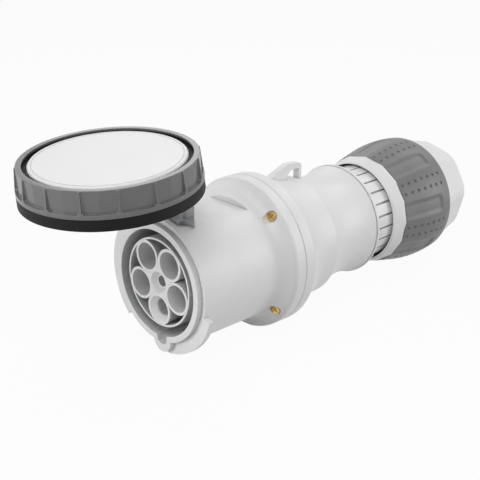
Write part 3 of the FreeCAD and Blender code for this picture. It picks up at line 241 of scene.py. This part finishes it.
class GroupShelf:
    """Builds each shared node group once and hands it out.

    Attributes:
        FINE_GRAIN: Noise of the fine grain.
        COARSE_GRAIN: Noise of the coarse grain under it.
        MOTTLE: Noise of flow mottling and of tarnish.
        SMEAR: Noise of uneven gloss.
        DUST: Noise that breaks the painted shade and dust in hollows into patches.
        COARSE_SCALE: Scale of the coarse grain against the fine one.
        SMEAR_SCALE: Scale of the uneven gloss against the mottling.
        FINE_WEIGHT: Share of the fine grain in the height.
        COARSE_WEIGHT: Share of the coarse grain in the height.
        DUST_SCALE: Patches of that noise per metre.
        RING_DISTORTION: How far turning rings stray.
        RING_DETAIL: Octaves of that straying.
        made: Groups made so far.
    """

    FINE_GRAIN = Octaves(2.0, 0.55)
    COARSE_GRAIN = Octaves(3.0, 0.5)
    MOTTLE = Octaves(4.0, 0.6)
    SMEAR = Octaves(3.0, 0.65)
    DUST = Octaves(3.0, 0.6)
    COARSE_SCALE = 0.21
    SMEAR_SCALE = 5.0
    FINE_WEIGHT = 0.65
    COARSE_WEIGHT = 0.35
    DUST_SCALE = 320.0
    RING_DISTORTION = 1.5
    RING_DETAIL = 2.0

    def __init__(self) -> None:
        """Start with no groups made."""
        self.made: dict[Group, bpy.types.NodeTree] = {}

    def get(self, kind: Group) -> bpy.types.NodeTree:
        """The group of a kind, built on first use.

        Args:
            kind: Which shared effect.

        Returns:
            Its node tree.
        """
        if kind not in self.made:
            makers = {
                Group.GRAIN: self.moulded_grain,
                Group.EDGES: self.softened_edges,
                Group.TURNING: self.turning_marks,
                Group.CREASE: self.crease_shade_and_dust,
            }
            self.made[kind] = makers[kind]()
        return self.made[kind]

    @staticmethod
    def start(kind: Group, inputs: dict[str, float],
              outputs: dict[str, str]) -> tuple[NodeBench, bpy.types.Node, bpy.types.Node]:
        """An empty group with named sockets.

        Args:
            kind: Which shared effect.
            inputs: Input names with their default numbers.
            outputs: Output names with their socket types.

        Returns:
            A bench on the tree, its input node and its output node.
        """
        tree = bpy.data.node_groups.new(kind.value, "ShaderNodeTree")
        for name, value in inputs.items():
            made = tree.interface.new_socket(name=name, in_out="INPUT", socket_type="NodeSocketFloat")
            made.default_value = value
        for name, socket_type in outputs.items():
            tree.interface.new_socket(name=name, in_out="OUTPUT", socket_type=socket_type)
        bench = NodeBench(tree)
        return bench, bench.add("NodeGroupInput"), bench.add("NodeGroupOutput")

    def moulded_grain(self) -> bpy.types.NodeTree:
        """Fine spark-eroded grain with slow flow mottling of a moulding.

        Returns:
            The group with Height, Mottle and Gloss outputs.
        """
        inputs = {"Grain Scale": 2200.0, "Mottle Scale": 28.0}
        outputs = {"Height": "NodeSocketFloat", "Mottle": "NodeSocketFloat", "Gloss": "NodeSocketFloat"}
        bench, entry, leave = self.start(Group.GRAIN, inputs, outputs)
        where = bench.add("ShaderNodeTexCoord").outputs["Object"]
        fine = bench.noise(where, entry.outputs["Grain Scale"], self.FINE_GRAIN)
        coarse_scale = bench.calc("MULTIPLY", entry.outputs["Grain Scale"], self.COARSE_SCALE)
        coarse = bench.noise(where, coarse_scale, self.COARSE_GRAIN)
        height = bench.calc("ADD", bench.calc("MULTIPLY", fine, self.FINE_WEIGHT),
                           bench.calc("MULTIPLY", coarse, self.COARSE_WEIGHT))
        bench.wire(height, leave.inputs["Height"])
        mottle = bench.noise(where, entry.outputs["Mottle Scale"], self.MOTTLE)
        bench.wire(mottle, leave.inputs["Mottle"])
        smear_scale = bench.calc("MULTIPLY", entry.outputs["Mottle Scale"], self.SMEAR_SCALE)
        smear = bench.noise(where, smear_scale, self.SMEAR)
        gloss = bench.calc("ADD", bench.calc("MULTIPLY", mottle, HALF), bench.calc("MULTIPLY", smear, HALF))
        bench.wire(gloss, leave.inputs["Gloss"])
        return bench.tree

    def softened_edges(self) -> bpy.types.NodeTree:
        """Rounded-over edges: a softened normal and a mask of the edges.

        Returns:
            The group with Normal and Edge outputs.
        """
        outputs = {"Normal": "NodeSocketVector", "Edge": "NodeSocketFloat"}
        bench, entry, leave = self.start(Group.EDGES, {"Radius": 0.0005, "Gain": 3.0}, outputs)
        bevel = bench.add("ShaderNodeBevel", samples=SHADE_SAMPLES)
        bench.wire(entry.outputs["Radius"], bevel.inputs["Radius"])
        flat = bench.add("ShaderNodeNewGeometry").outputs["Normal"]
        dot = bench.add("ShaderNodeVectorMath", operation="DOT_PRODUCT")
        bench.wire(bevel.outputs["Normal"], dot.inputs[0])
        bench.wire(flat, dot.inputs[1])
        away = bench.calc("SUBTRACT", 1.0, dot.outputs["Value"])
        bench.wire(bench.calc("MULTIPLY", away, entry.outputs["Gain"], clamp=True), leave.inputs["Edge"])
        bench.wire(bevel.outputs["Normal"], leave.inputs["Normal"])
        return bench.tree

    def turning_marks(self) -> bpy.types.NodeTree:
        """Fine rings left by a lathe, with tarnish patches.

        Returns:
            The group with Height and Tarnish outputs.
        """
        outputs = {"Height": "NodeSocketFloat", "Tarnish": "NodeSocketFloat"}
        bench, entry, leave = self.start(Group.TURNING, {"Ring Scale": 900.0, "Patch Scale": 160.0}, outputs)
        where = bench.add("ShaderNodeTexCoord").outputs["Object"]
        wave = bench.add("ShaderNodeTexWave", wave_type="BANDS", bands_direction="X")
        bench.wire(where, wave.inputs["Vector"])
        bench.wire(entry.outputs["Ring Scale"], wave.inputs["Scale"])
        wave.inputs["Distortion"].default_value = self.RING_DISTORTION
        wave.inputs["Detail"].default_value = self.RING_DETAIL
        bench.wire(wave.outputs["Fac"], leave.inputs["Height"])
        tarnish = bench.noise(where, entry.outputs["Patch Scale"], self.MOTTLE)
        bench.wire(tarnish, leave.inputs["Tarnish"])
        return bench.tree

    def crease_shade_and_dust(self) -> bpy.types.NodeTree:
        """Painted shade, with some dust, in creases and hollows: darker where ambient occlusion finds walls
        close by, broken into patches by noise.

        Returns:
            The group with one mask output of painted shade and dust.
        """
        inputs = {"Reach": 0.004, "Amount": 0.5}
        bench, entry, leave = self.start(Group.CREASE, inputs, {"Shade And Dust": "NodeSocketFloat"})
        # Painted shade: ambient occlusion marks where walls are close, standing in for the shade in creases
        # and hollows
        hollow = bench.add("ShaderNodeAmbientOcclusion", samples=SHADE_SAMPLES)
        bench.wire(entry.outputs["Reach"], hollow.inputs["Distance"])
        closed = bench.calc("SUBTRACT", 1.0, hollow.outputs["AO"])
        where = bench.add("ShaderNodeTexCoord").outputs["Object"]
        patchy = bench.noise(where, self.DUST_SCALE, self.DUST)
        patchy_shade = bench.calc("MULTIPLY", closed, patchy)
        shade_and_dust = bench.calc("MULTIPLY", patchy_shade, entry.outputs["Amount"], clamp=True)
        bench.wire(shade_and_dust, leave.inputs["Shade And Dust"])
        return bench.tree


@dataclass(frozen=True)
class Moulding:
    """A moulded plastic or rubber finish.

    Attributes:
        name: Material name.
        colour: Base colour.
        mottled: Colour of the slow flow mottling.
        rubbed: Colour of rubbed edges.
        roughness: Middle roughness.
        spread: How far the roughness wanders.
        specular: Specular level.
        grain: Grain features per metre.
        grain_depth: Bump strength of the grain.
        edge: Radius of the softened edges in metres.
        hollow_reach: How far apart walls still get painted shade in a hollow, in metres.
        hollow_share: How strong the painted shade and dust in hollows are.
        hollow_tone: Tone of the painted shade in a hollow against the base colour.
        GRAIN_HEIGHT: Height of the grain in metres.
    """

    name: str
    colour: Colour
    mottled: Colour
    rubbed: Colour
    roughness: float
    spread: float
    specular: float
    grain: float
    grain_depth: float
    edge: float
    hollow_reach: float = 0.004
    hollow_share: float = 0.5
    hollow_tone: float = 0.82

    GRAIN_HEIGHT: ClassVar[float] = 0.00008

    def material(self, shelf: GroupShelf) -> bpy.types.Material:
        """Build the material.

        Args:
            shelf: The shared node groups.

        Returns:
            The finished material.
        """
        made, bench, surface = new_material(self.name)
        grain = bench.group(shelf.get(Group.GRAIN), {"Grain Scale": self.grain})
        edges = bench.group(shelf.get(Group.EDGES), {"Radius": self.edge})
        # Painted shade and dust: the base colour darkens towards hollow_tone where creases and hollows would
        # lie in shade
        hollow = {"Reach": self.hollow_reach, "Amount": self.hollow_share}
        shade_and_dust = bench.group(shelf.get(Group.CREASE), hollow)
        flowed = bench.blend(grain.outputs["Mottle"], self.colour, self.mottled)
        worn = bench.blend(edges.outputs["Edge"], flowed, self.rubbed)
        shade = tuple(channel * self.hollow_tone for channel in self.colour)
        shaded_and_dusty = bench.blend(shade_and_dust.outputs["Shade And Dust"], worn, shade)
        bench.wire(shaded_and_dusty, surface.inputs["Base Color"])
        smoothest = self.roughness - self.spread * HALF
        wander = bench.calc("MULTIPLY_ADD", grain.outputs["Gloss"], self.spread, smoothest)
        bench.wire(wander, surface.inputs["Roughness"])
        normal = bench.relief(grain.outputs["Height"], edges.outputs["Normal"],
                              self.grain_depth, self.GRAIN_HEIGHT)
        bench.wire(normal, surface.inputs["Normal"])
        surface.inputs["Specular IOR Level"].default_value = self.specular
        return made


@dataclass(frozen=True)
class TurnedMetal:
    """A turned metal finish.

    Attributes:
        name: Material name.
        colour: Bright metal colour.
        tarnish: Dulled metal colour.
        roughness: Middle roughness.
        rings: Turning rings per metre.
        ring_depth: Bump strength of the rings.
        edge: Radius of the softened edges in metres.
        SPREAD: How far the roughness wanders.
        RING_HEIGHT: Height of the rings in metres.
    """

    name: str
    colour: Colour
    tarnish: Colour
    roughness: float
    rings: float
    ring_depth: float
    edge: float

    SPREAD: ClassVar[float] = 0.2
    RING_HEIGHT: ClassVar[float] = 0.00005

    def material(self, shelf: GroupShelf) -> bpy.types.Material:
        """Build the material.

        Args:
            shelf: The shared node groups.

        Returns:
            The finished material.
        """
        made, bench, surface = new_material(self.name)
        marks = bench.group(shelf.get(Group.TURNING), {"Ring Scale": self.rings})
        edges = bench.group(shelf.get(Group.EDGES), {"Radius": self.edge})
        dulled = bench.blend(marks.outputs["Tarnish"], self.colour, self.tarnish)
        bench.wire(dulled, surface.inputs["Base Color"])
        smoothest = self.roughness - self.SPREAD * HALF
        wander = bench.calc("MULTIPLY_ADD", marks.outputs["Tarnish"], self.SPREAD, smoothest)
        bench.wire(wander, surface.inputs["Roughness"])
        normal = bench.relief(marks.outputs["Height"], edges.outputs["Normal"],
                              self.ring_depth, self.RING_HEIGHT)
        bench.wire(normal, surface.inputs["Normal"])
        surface.inputs["Metallic"].default_value = 1.0
        return made


class Finish(Enum):
    """Finishes of the connector's pieces."""

    WHITE = Moulding(
        "white_moulding",
        colour=(0.80, 0.80, 0.805), mottled=(0.77, 0.77, 0.78), rubbed=(0.86, 0.86, 0.86),
        roughness=0.42, spread=0.10, specular=0.45, grain=2400.0, grain_depth=0.12, edge=0.0007,
        # Strong painted shade in narrow creases
        hollow_reach=0.002, hollow_share=1.6, hollow_tone=0.35,
    )
    INNER = Moulding(
        "inner_moulding",
        colour=(0.60, 0.61, 0.63), mottled=(0.57, 0.58, 0.60), rubbed=(0.68, 0.68, 0.70),
        roughness=0.5, spread=0.12, specular=0.4, grain=2000.0, grain_depth=0.18, edge=0.0004,
    )
    BRACKET = Moulding(
        "bracket_moulding",
        colour=(0.40, 0.405, 0.415), mottled=(0.37, 0.375, 0.385), rubbed=(0.48, 0.48, 0.49),
        roughness=0.48, spread=0.12, specular=0.4, grain=2000.0, grain_depth=0.18, edge=0.0004,
    )
    INSERT = Moulding(
        "insert_moulding",
        colour=(0.80, 0.80, 0.805), mottled=(0.77, 0.77, 0.78), rubbed=(0.88, 0.88, 0.88),
        roughness=0.40, spread=0.10, specular=0.45, grain=2400.0, grain_depth=0.12, edge=0.0006,
        # Strong painted shade deep in hollows such as the socket tubes and the gap round the insert
        hollow_reach=0.014, hollow_share=1.3, hollow_tone=0.32,
    )
    GREY = Moulding(
        "grey_moulding",
        colour=(0.148, 0.149, 0.151), mottled=(0.132, 0.133, 0.135), rubbed=(0.21, 0.21, 0.212),
        roughness=0.22, spread=0.08, specular=0.55, grain=1500.0, grain_depth=0.15, edge=0.0006,
    )
    GRIP = Moulding(
        "soft_grip",
        colour=(0.165, 0.166, 0.168), mottled=(0.148, 0.149, 0.151), rubbed=(0.20, 0.20, 0.202),
        roughness=0.44, spread=0.10, specular=0.5, grain=1300.0, grain_depth=0.35, edge=0.0004,
    )
    BLACK = Moulding(
        "black_liner",
        colour=(0.008, 0.008, 0.008), mottled=(0.010, 0.010, 0.010), rubbed=(0.03, 0.03, 0.03),
        roughness=0.55, spread=0.12, specular=0.15, grain=1600.0, grain_depth=0.25, edge=0.0005,
    )
    RUBBER = Moulding(
        "seal_rubber",
        colour=(0.028, 0.028, 0.028), mottled=(0.036, 0.036, 0.036), rubbed=(0.06, 0.06, 0.06),
        roughness=0.68, spread=0.14, specular=0.3, grain=1200.0, grain_depth=0.35, edge=0.0005,
    )
    BRASS = TurnedMetal(
        "turned_brass",
        colour=(0.78, 0.57, 0.24), tarnish=(0.60, 0.42, 0.17),
        roughness=0.34, rings=1400.0, ring_depth=0.12, edge=0.0003,
    )
    STEEL = TurnedMetal(
        "turned_steel",
        colour=(0.60, 0.60, 0.61), tarnish=(0.48, 0.48, 0.49),
        roughness=0.36, rings=1400.0, ring_depth=0.12, edge=0.0003,
    )


class Workshop:
    """Makes each finish's material once and dresses pieces with it.

    Attributes:
        shelf: The shared node groups.
        made: Materials made so far.
    """

    def __init__(self) -> None:
        """Start with an empty shelf."""
        self.shelf = GroupShelf()
        self.made: dict[Finish, bpy.types.Material] = {}

    def material(self, finish: Finish) -> bpy.types.Material:
        """The material of a finish.

        Args:
            finish: Which finish.

        Returns:
            Its material, built on first use.
        """
        if finish not in self.made:
            self.made[finish] = finish.value.material(self.shelf)
        return self.made[finish]

    def dress(self, piece: bpy.types.Object, finish: Finish) -> None:
        """Put a finish on every slot of a piece.

        Args:
            piece: Mesh object.
            finish: Which finish.
        """
        if not piece.material_slots:
            piece.data.materials.append(self.material(finish))
        for slot in piece.material_slots:
            slot.material = self.material(finish)
        LOG.info("%s dressed in %s", piece.name, finish.value.name)


@dataclass
class SolidGroup:
    """A sub-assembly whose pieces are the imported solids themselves.

    Attributes:
        name: Sub-assembly name.
        finishes: Finish of each node by its name.
    """

    name: str
    finishes: dict[str, Finish]

    def build(self) -> None:
        """Report the solids, which are already imported from model.glb."""
        LOG.info("%s: %d solids in place", self.name, len(self.finishes))

    def dress(self, shop: Workshop) -> None:
        """Dress every node with the shop's materials."""
        for node, finish in self.finishes.items():
            shop.dress(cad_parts[node], finish)


@dataclass
class GripSleeve:
    """The soft grip round the gland nut, with finger flutes and rows of dimples.

    Attributes:
        front: Distance of the front edge along the axis, in millimetres.
        crown_start: Where the front cone ends and the crowned part starts.
        back: Distance of the back edge.
        inner: Bore radius.
        front_radius: Outer radius at the front edge.
        crown_radius: Outer radius where the crowned part starts.
        back_radius: Outer radius at the back edge.
        crown: Radius of the barrel-shaped profile.
        lip: Rounding of both edges.
        count: Number of finger flutes, and of dimpled pads between them.
        flute_clock: Clock angle of the first flute in degrees.
        flute_end: Where the flutes end along the axis.
        flute_floor: Half the width of a flute's flat floor.
        flute_edge: Half the width of a flute over its walls.
        flute_depth: Depth of a flute at the front edge and on the crown.
        row_spread: Angle from a pad's middle to each row of dimples.
        dimple_span: First and last dimple along the axis.
        dimples: Dimples in a row.
        dimple_radius: Radius of a dimple.
        dimple_depth: Depth of a dimple.
        piece: The mesh object, once it is built.
        LIP_SHARES: Mesh places over a rounded edge.
        DIMPLE_STEPS: Mesh steps over half a dimple.
        BETWEEN_DIMPLES: Mesh places from one dimple to the next.
        CROWN_OFFSETS: Mesh places round the start of the crown.
        FLUTE_END_LENGTH: Stretch at a flute's end with a finer mesh.
        FLUTE_END_STEPS: Mesh steps over that stretch.
        FLUTE_STEPS: Mesh steps across a flute.
        FLUTE_BLUNTNESS: How square a flute's end is.
        PAD_ANGLES: Mesh angles between a pad's two rows.
        PAD_HALF: Half the angle of a pad.
        SHARP_ANGLE: Edges that turn more than this stay sharp, in degrees.
    """

    LIP_SHARES: ClassVar[tuple[float, ...]] = (0.0, 0.12, 0.4, 1.0)
    DIMPLE_STEPS: ClassVar[int] = 4
    BETWEEN_DIMPLES: ClassVar[tuple[float, ...]] = (0.3, 0.5, 0.7)
    CROWN_OFFSETS: ClassVar[tuple[float, ...]] = (-1.0, -0.4, 0.0, 0.4, 1.0)
    FLUTE_END_LENGTH: ClassVar[float] = 2.4
    FLUTE_END_STEPS: ClassVar[int] = 6
    FLUTE_STEPS: ClassVar[int] = 42
    FLUTE_BLUNTNESS: ClassVar[int] = 4
    PAD_ANGLES: ClassVar[tuple[float, ...]] = (-2.5, -1.2, 0.0, 1.2, 2.5)
    PAD_HALF: ClassVar[float] = 7.5
    SHARP_ANGLE: ClassVar[float] = 50.0

    front: float = 238.6
    crown_start: float = 256.0
    back: float = 295.4
    inner: float = 46.55
    front_radius: float = 48.4
    crown_radius: float = 52.1
    back_radius: float = 53.4
    crown: float = 112.0
    lip: float = 0.7
    count: int = 8
    flute_clock: float = 34.6
    flute_end: float = 284.6
    flute_floor: float = 4.6
    flute_edge: float = 8.8
    flute_depth: tuple[float, float] = (0.7, 1.6)
    row_spread: float = 4.8
    dimple_span: tuple[float, float] = (242.2, 285.9)
    dimples: int = 7
    dimple_radius: float = 1.3
    dimple_depth: float = 1.6
    piece: bpy.types.Object | None = field(default=None, init=False)

    @property
    def pitch(self) -> float:
        """Angle from one flute to the next, in degrees."""
        return FULL_TURN / self.count

    @property
    def dimple_step(self) -> float:
        """Distance from one dimple of a row to the next."""
        return (self.dimple_span[1] - self.dimple_span[0]) / (self.dimples - 1)

    @property
    def dimple_shares(self) -> list[float]:
        """Mesh places over a dimple, as shares of its radius."""
        return [step / self.DIMPLE_STEPS for step in range(-self.DIMPLE_STEPS, self.DIMPLE_STEPS + 1)]

    def crowned(self, x: float) -> float:
        """Radius of the crowned part.

        Args:
            x: Distance along the axis.

        Returns:
            Radius of the arc between the crown's two ends.
        """
        length = self.back - self.crown_start
        slope = (self.back_radius - self.crown_radius) / length
        half = math.hypot(length, self.back_radius - self.crown_radius) / 2.0
        along = (x - (self.crown_start + self.back) / 2.0) * math.sqrt(1.0 + slope * slope)
        rise = math.sqrt(self.crown ** 2 - along ** 2) - math.sqrt(self.crown ** 2 - half ** 2)
        return self.crown_radius + slope * (x - self.crown_start) + rise

    def profile(self, x: float) -> float:
        """Radius of the smooth sleeve.

        Args:
            x: Distance along the axis.

        Returns:
            Radius of the front cone or the crown, with rounded edges.
        """
        if x < self.crown_start:
            rise = (self.crown_radius - self.front_radius) / (self.crown_start - self.front)
            radius = self.front_radius + rise * (x - self.front)
        else:
            radius = self.crowned(x)
        near = min(x - self.front, self.back - x)
        if near < self.lip:
            short = self.lip - near
            radius -= self.lip - math.sqrt(max(self.lip ** 2 - short ** 2, 0.0))
        return radius

    def flute(self, x: float, clock: float, radius: float) -> float:
        """Depth of the nearest finger flute at a place.

        Args:
            x: Distance along the axis.
            clock: Clock angle in degrees.
            radius: Sleeve radius there.

        Returns:
            Depth below the sleeve's surface.
        """
        half = self.pitch / 2.0
        away = math.radians((clock - self.flute_clock + half) % self.pitch - half) * radius
        beyond = max(x - self.flute_end + self.flute_edge, 0.0)
        blunt = self.FLUTE_BLUNTNESS
        reach = (beyond ** blunt + away ** blunt) ** (1.0 / blunt)
        wall = min(max((self.flute_edge - reach) / (self.flute_edge - self.flute_floor), 0.0), 1.0)
        share = min((x - self.front) / (self.crown_start - self.front), 1.0)
        depth = self.flute_depth[0] + (self.flute_depth[1] - self.flute_depth[0]) * share
        smooth_wall = wall * wall * (3.0 - 2.0 * wall)
        return depth * smooth_wall

    def dimple(self, x: float, clock: float, radius: float) -> float:
        """Depth of the dimples at a place.

        Args:
            x: Distance along the axis.
            clock: Clock angle in degrees.
            radius: Sleeve radius there.

        Returns:
            Depth below the sleeve's surface.
        """
        from_pad = (clock - self.flute_clock) % self.pitch - self.pitch / 2.0
        from_row = math.radians(abs(from_pad) - self.row_spread) * radius
        from_first = x - self.dimple_span[0]
        index = min(max(round(from_first / self.dimple_step), 0), self.dimples - 1)
        reach = math.hypot(from_first - index * self.dimple_step, from_row) / self.dimple_radius
        return self.dimple_depth * math.sqrt(1.0 - reach * reach) if reach < 1.0 else 0.0

    def radius(self, x: float, clock: float) -> float:
        """Outer radius with flutes and dimples, at a distance along the axis and a clock angle in degrees."""
        smooth = self.profile(x)
        return smooth - self.flute(x, clock, smooth) - self.dimple(x, clock, smooth)

    def stations(self) -> list[float]:
        """Places along the axis, close together where the dimples are.

        Returns:
            Sorted distances from the front edge to the back edge.
        """
        marks = {self.front + self.lip * share for share in self.LIP_SHARES}
        marks |= {self.back - self.lip * share for share in self.LIP_SHARES}
        for index in range(self.dimples):
            middle = self.dimple_span[0] + index * self.dimple_step
            marks |= {middle + self.dimple_radius * share for share in self.dimple_shares}
            marks |= {middle + self.dimple_step * share for share in self.BETWEEN_DIMPLES}
        marks |= {self.crown_start + offset for offset in self.CROWN_OFFSETS}
        ending = range(self.FLUTE_END_STEPS + 1)
        marks |= {self.flute_end - self.FLUTE_END_LENGTH * step / self.FLUTE_END_STEPS for step in ending}
        return sorted(mark for mark in marks if self.front <= mark <= self.back)

    def spokes(self) -> list[float]:
        """Clock angles, close together where the dimple rows are.

        Returns:
            Sorted angles round the sleeve in degrees.
        """
        wide = math.degrees(self.dimple_radius / self.front_radius)
        flute = self.pitch - self.PAD_HALF * 2.0
        steps = range(self.FLUTE_STEPS + 1)
        marks: list[float] = []
        for index in range(self.count):
            pad = self.flute_clock + self.pitch * (index + HALF)
            for row in (pad - self.row_spread, pad + self.row_spread):
                marks += [row + wide * share for share in self.dimple_shares]
            marks += [pad + angle for angle in self.PAD_ANGLES]
            marks += [pad + self.PAD_HALF + flute * step / self.FLUTE_STEPS for step in steps]
        return sorted(mark % FULL_TURN for mark in marks)

    def build(self) -> None:
        """Make the sleeve as one closed mesh that rides on the nut."""
        mesh = bmesh.new()
        rings = []
        angles = [math.radians(angle) for angle in self.spokes()]
        outer = [[(x, self.radius(x, math.degrees(angle))) for angle in angles] for x in self.stations()]
        middle = (self.front + self.back) / 2.0
        bore = [[(x, self.inner) for _ in angles] for x in (self.back, middle, self.front)]
        for course in outer + bore:
            ring = []
            for (x, radius), angle in zip(course, angles):
                spot = Vector((x, radius * math.sin(angle), -radius * math.cos(angle))) * MM
                ring.append(mesh.verts.new(spot))
            rings.append(ring)
        for here, there in zip(rings, rings[1:] + rings[:1]):
            for index in range(len(angles)):
                after = (index + 1) % len(angles)
                mesh.faces.new((here[index], there[index], there[after], here[after]))
        bmesh.ops.recalc_face_normals(mesh, faces=mesh.faces)
        self.piece = new_piece("grip_sleeve", mesh)
        self.piece.data.shade_smooth()
        self.piece.data.set_sharp_from_angle(angle=math.radians(self.SHARP_ANGLE))
        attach(self.piece, "nut")
        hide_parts("gland_grip")

    def dress(self, shop: Workshop) -> None:
        """Dress the sleeve in the shop's soft grip finish."""
        shop.dress(self.piece, Finish.GRIP)


@dataclass(frozen=True)
class SoftBox:
    """A studio soft box.

    Attributes:
        name: Lamp name.
        place: Where it stands, in metres.
        aim: The point it faces.
        width: Its width.
        height: Its height.
        power: Its power in watts.
    """

    name: str
    place: Point
    aim: Point
    width: float
    height: float
    power: float

    def build(self) -> None:
        """Set the lamp up."""
        lamp = bpy.data.lights.new(self.name, "AREA")
        lamp.shape = "RECTANGLE"
        lamp.size = self.width
        lamp.size_y = self.height
        lamp.energy = self.power
        stand = bpy.data.objects.new(self.name, lamp)
        bpy.context.scene.collection.objects.link(stand)
        stand.location = self.place
        facing = Vector(self.aim) - Vector(self.place)
        stand.rotation_euler = facing.to_track_quat("-Z", "Y").to_euler()


@dataclass
class Studio:
    """Pale floor, soft light, white surroundings and the camera.

    Attributes:
        floor_height: Height of the floor in metres.
        floor_size: Side of the floor.
        floor_tone: Grey of the floor where light falls on it.
        floor_roughness: Roughness of the floor.
        floor_specular: Specular level of the floor.
        floor_glow: Share of plain white in the floor as it is seen.
        ambient: Strength of the surroundings as a light.
        eye: Camera place.
        forward: Camera viewing direction.
        right: Camera's right-hand direction.
        lens: Focal length in millimetres.
        sensor: Sensor width in millimetres.
        sight: How far the camera sees, in metres.
        lamps: The soft boxes.
    """

    floor_height: float = -0.0608
    floor_size: float = 12.0
    floor_tone: float = 0.62
    floor_roughness: float = 0.9
    floor_specular: float = 0.1
    floor_glow: float = 0.95
    ambient: float = 0.15
    eye: Point = (-0.4361, -0.5449, 0.3145)
    forward: Point = (0.6421, 0.6698, -0.3728)
    right: Point = (0.7236, -0.6903, 0.0060)
    lens: float = 76.78
    sensor: float = 36.0
    sight: float = 50.0
    lamps: tuple[SoftBox, ...] = (
        SoftBox("overhead", place=(-0.35, 0.10, 1.2), aim=(0.0, 0.0, 0.05),
                width=1.0, height=0.9, power=4.4),
        SoftBox("front_high", place=(-0.55, -0.75, 1.0), aim=(0.05, 0.0, 0.0),
                width=0.9, height=0.7, power=7.0),
        SoftBox("left_side", place=(-1.05, 0.38, 0.22), aim=(0.0, 0.0, 0.04),
                width=0.6, height=0.8, power=7.0),
        SoftBox("right_side", place=(0.95, -0.82, 0.22), aim=(0.10, 0.0, 0.02),
                width=0.6, height=0.7, power=4.6),
        SoftBox("upper_right", place=(1.04, 0.0, 0.92), aim=(0.24, 0.0, 0.0),
                width=0.5, height=0.5, power=2.4),
        SoftBox("behind", place=(0.75, 0.85, 0.75), aim=(0.12, 0.0, 0.0),
                width=0.6, height=0.5, power=1.5),
    )

    def build(self) -> None:
        """Set up floor, surroundings, lamps and camera."""
        for lamp in self.lamps:
            lamp.build()
        self.build_floor()
        self.build_world()
        self.build_camera()

    @staticmethod
    def seen(bench: NodeBench, path: bpy.types.Node) -> Socket:
        """Mask of the camera, glossy and transmission rays, which see the surroundings."""
        either = bench.calc("ADD", path.outputs["Is Camera Ray"], path.outputs["Is Glossy Ray"], clamp=True)
        return bench.calc("ADD", either, path.outputs["Is Transmission Ray"], clamp=True)

    def build_floor(self) -> None:
        """A wide pale floor that shows white and keeps the shadow."""
        mesh = bmesh.new()
        bmesh.ops.create_grid(mesh, x_segments=4, y_segments=4, size=self.floor_size / 2.0)
        floor = new_piece("floor", mesh)
        floor.location.z = self.floor_height
        paint, bench, surface = new_material("pale_floor")
        bench.feed(surface.inputs["Base Color"], (self.floor_tone, self.floor_tone, self.floor_tone))
        surface.inputs["Roughness"].default_value = self.floor_roughness
        surface.inputs["Specular IOR Level"].default_value = self.floor_specular
        glow = bench.add("ShaderNodeEmission")
        bench.feed(glow.inputs["Color"], PLAIN_WHITE)
        glow.inputs["Strength"].default_value = 1.0
        path = bench.add("ShaderNodeLightPath")
        share = bench.calc("MULTIPLY", self.seen(bench, path), self.floor_glow)
        mix = bench.add("ShaderNodeMixShader")
        bench.wire(share, mix.inputs["Fac"])
        bench.wire(surface.outputs["BSDF"], mix.inputs[1])
        bench.wire(glow.outputs["Emission"], mix.inputs[2])
        bench.wire(mix.outputs["Shader"], paint.node_tree.nodes["Material Output"].inputs["Surface"])
        floor.data.materials.append(paint)

    def build_world(self) -> None:
        """White surroundings that light the object softly."""
        world = bpy.data.worlds.new("studio")
        bpy.context.scene.world = world
        world.use_nodes = True
        bench = NodeBench(world.node_tree)
        back = world.node_tree.nodes["Background"]
        bench.feed(back.inputs["Color"], PLAIN_WHITE)
        path = bench.add("ShaderNodeLightPath")
        strength = bench.calc("MULTIPLY_ADD", self.seen(bench, path), 1.0 - self.ambient, self.ambient)
        bench.wire(strength, back.inputs["Strength"])

    def build_camera(self) -> None:
        """Stand the camera where the picture was taken from."""
        data = bpy.data.cameras.new("camera")
        data.lens = self.lens
        data.sensor_width = self.sensor
        data.clip_end = self.sight
        camera = bpy.data.objects.new("camera", data)
        bpy.context.scene.collection.objects.link(camera)
        back = -Vector(self.forward).normalized()
        right = Vector(self.right)
        right = (right - back * right.dot(back)).normalized()
        up = back.cross(right)
        turn = Matrix((right, up, back)).transposed().to_4x4()
        camera.matrix_world = Matrix.Translation(self.eye) @ turn
        bpy.context.scene.camera = camera


def assemblies() -> list[SolidGroup | GripSleeve]:
    """The connector's sub-assemblies in building order.

    Returns:
        The sub-assemblies, each with build and dress methods.
    """
    contacts = ("line_contact_1", "line_contact_2", "line_contact_3", "neutral_contact", "earth_contact",
                "pilot_contact")
    return [
        SolidGroup("front housing", {
            "front_housing": Finish.WHITE,
            "socket_sleeve": Finish.INSERT,
            "socket_floor": Finish.INSERT,
            "hinge_bracket": Finish.BRACKET,
            "hinge_pin": Finish.STEEL,
            "housing_screws": Finish.BRASS,
            "thread_inserts": Finish.BRASS,
            "housing_gasket": Finish.RUBBER,
        }),
        SolidGroup("contact insert", {
            "contact_insert": Finish.INSERT,
            "socket_tubes": Finish.INSERT,
            "insert_sleeve": Finish.INSERT,
            "insert_hub": Finish.INSERT,
            "contact_carrier": Finish.INNER,
            "terminal_screws": Finish.STEEL,
            "carrier_screws": Finish.STEEL,
            **{contact: Finish.BRASS for contact in contacts},
        }),
        SolidGroup("hinged lid", {
            "lid_cap": Finish.WHITE,
            "lid_gasket": Finish.RUBBER,
            "bayonet_ring": Finish.GREY,
            "ring_liner": Finish.BLACK,
        }),
        SolidGroup("rear housing and gland", {
            "rear_housing": Finish.WHITE,
            "gland_seal": Finish.RUBBER,
            "thrust_washer": Finish.INNER,
            "clamp_cage": Finish.INNER,
            "gland_nut": Finish.WHITE,
        }),
        GripSleeve(),
    ]


def main() -> None:
    """Build the studio and every sub-assembly."""
    logging.basicConfig(level=logging.INFO)
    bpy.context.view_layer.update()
    bpy.context.scene.view_settings.view_transform = "Standard"
    Studio().build()
    shop = Workshop()
    for part in assemblies():
        part.build()
        part.dress(shop)


if __name__ == "__main__":
    main()
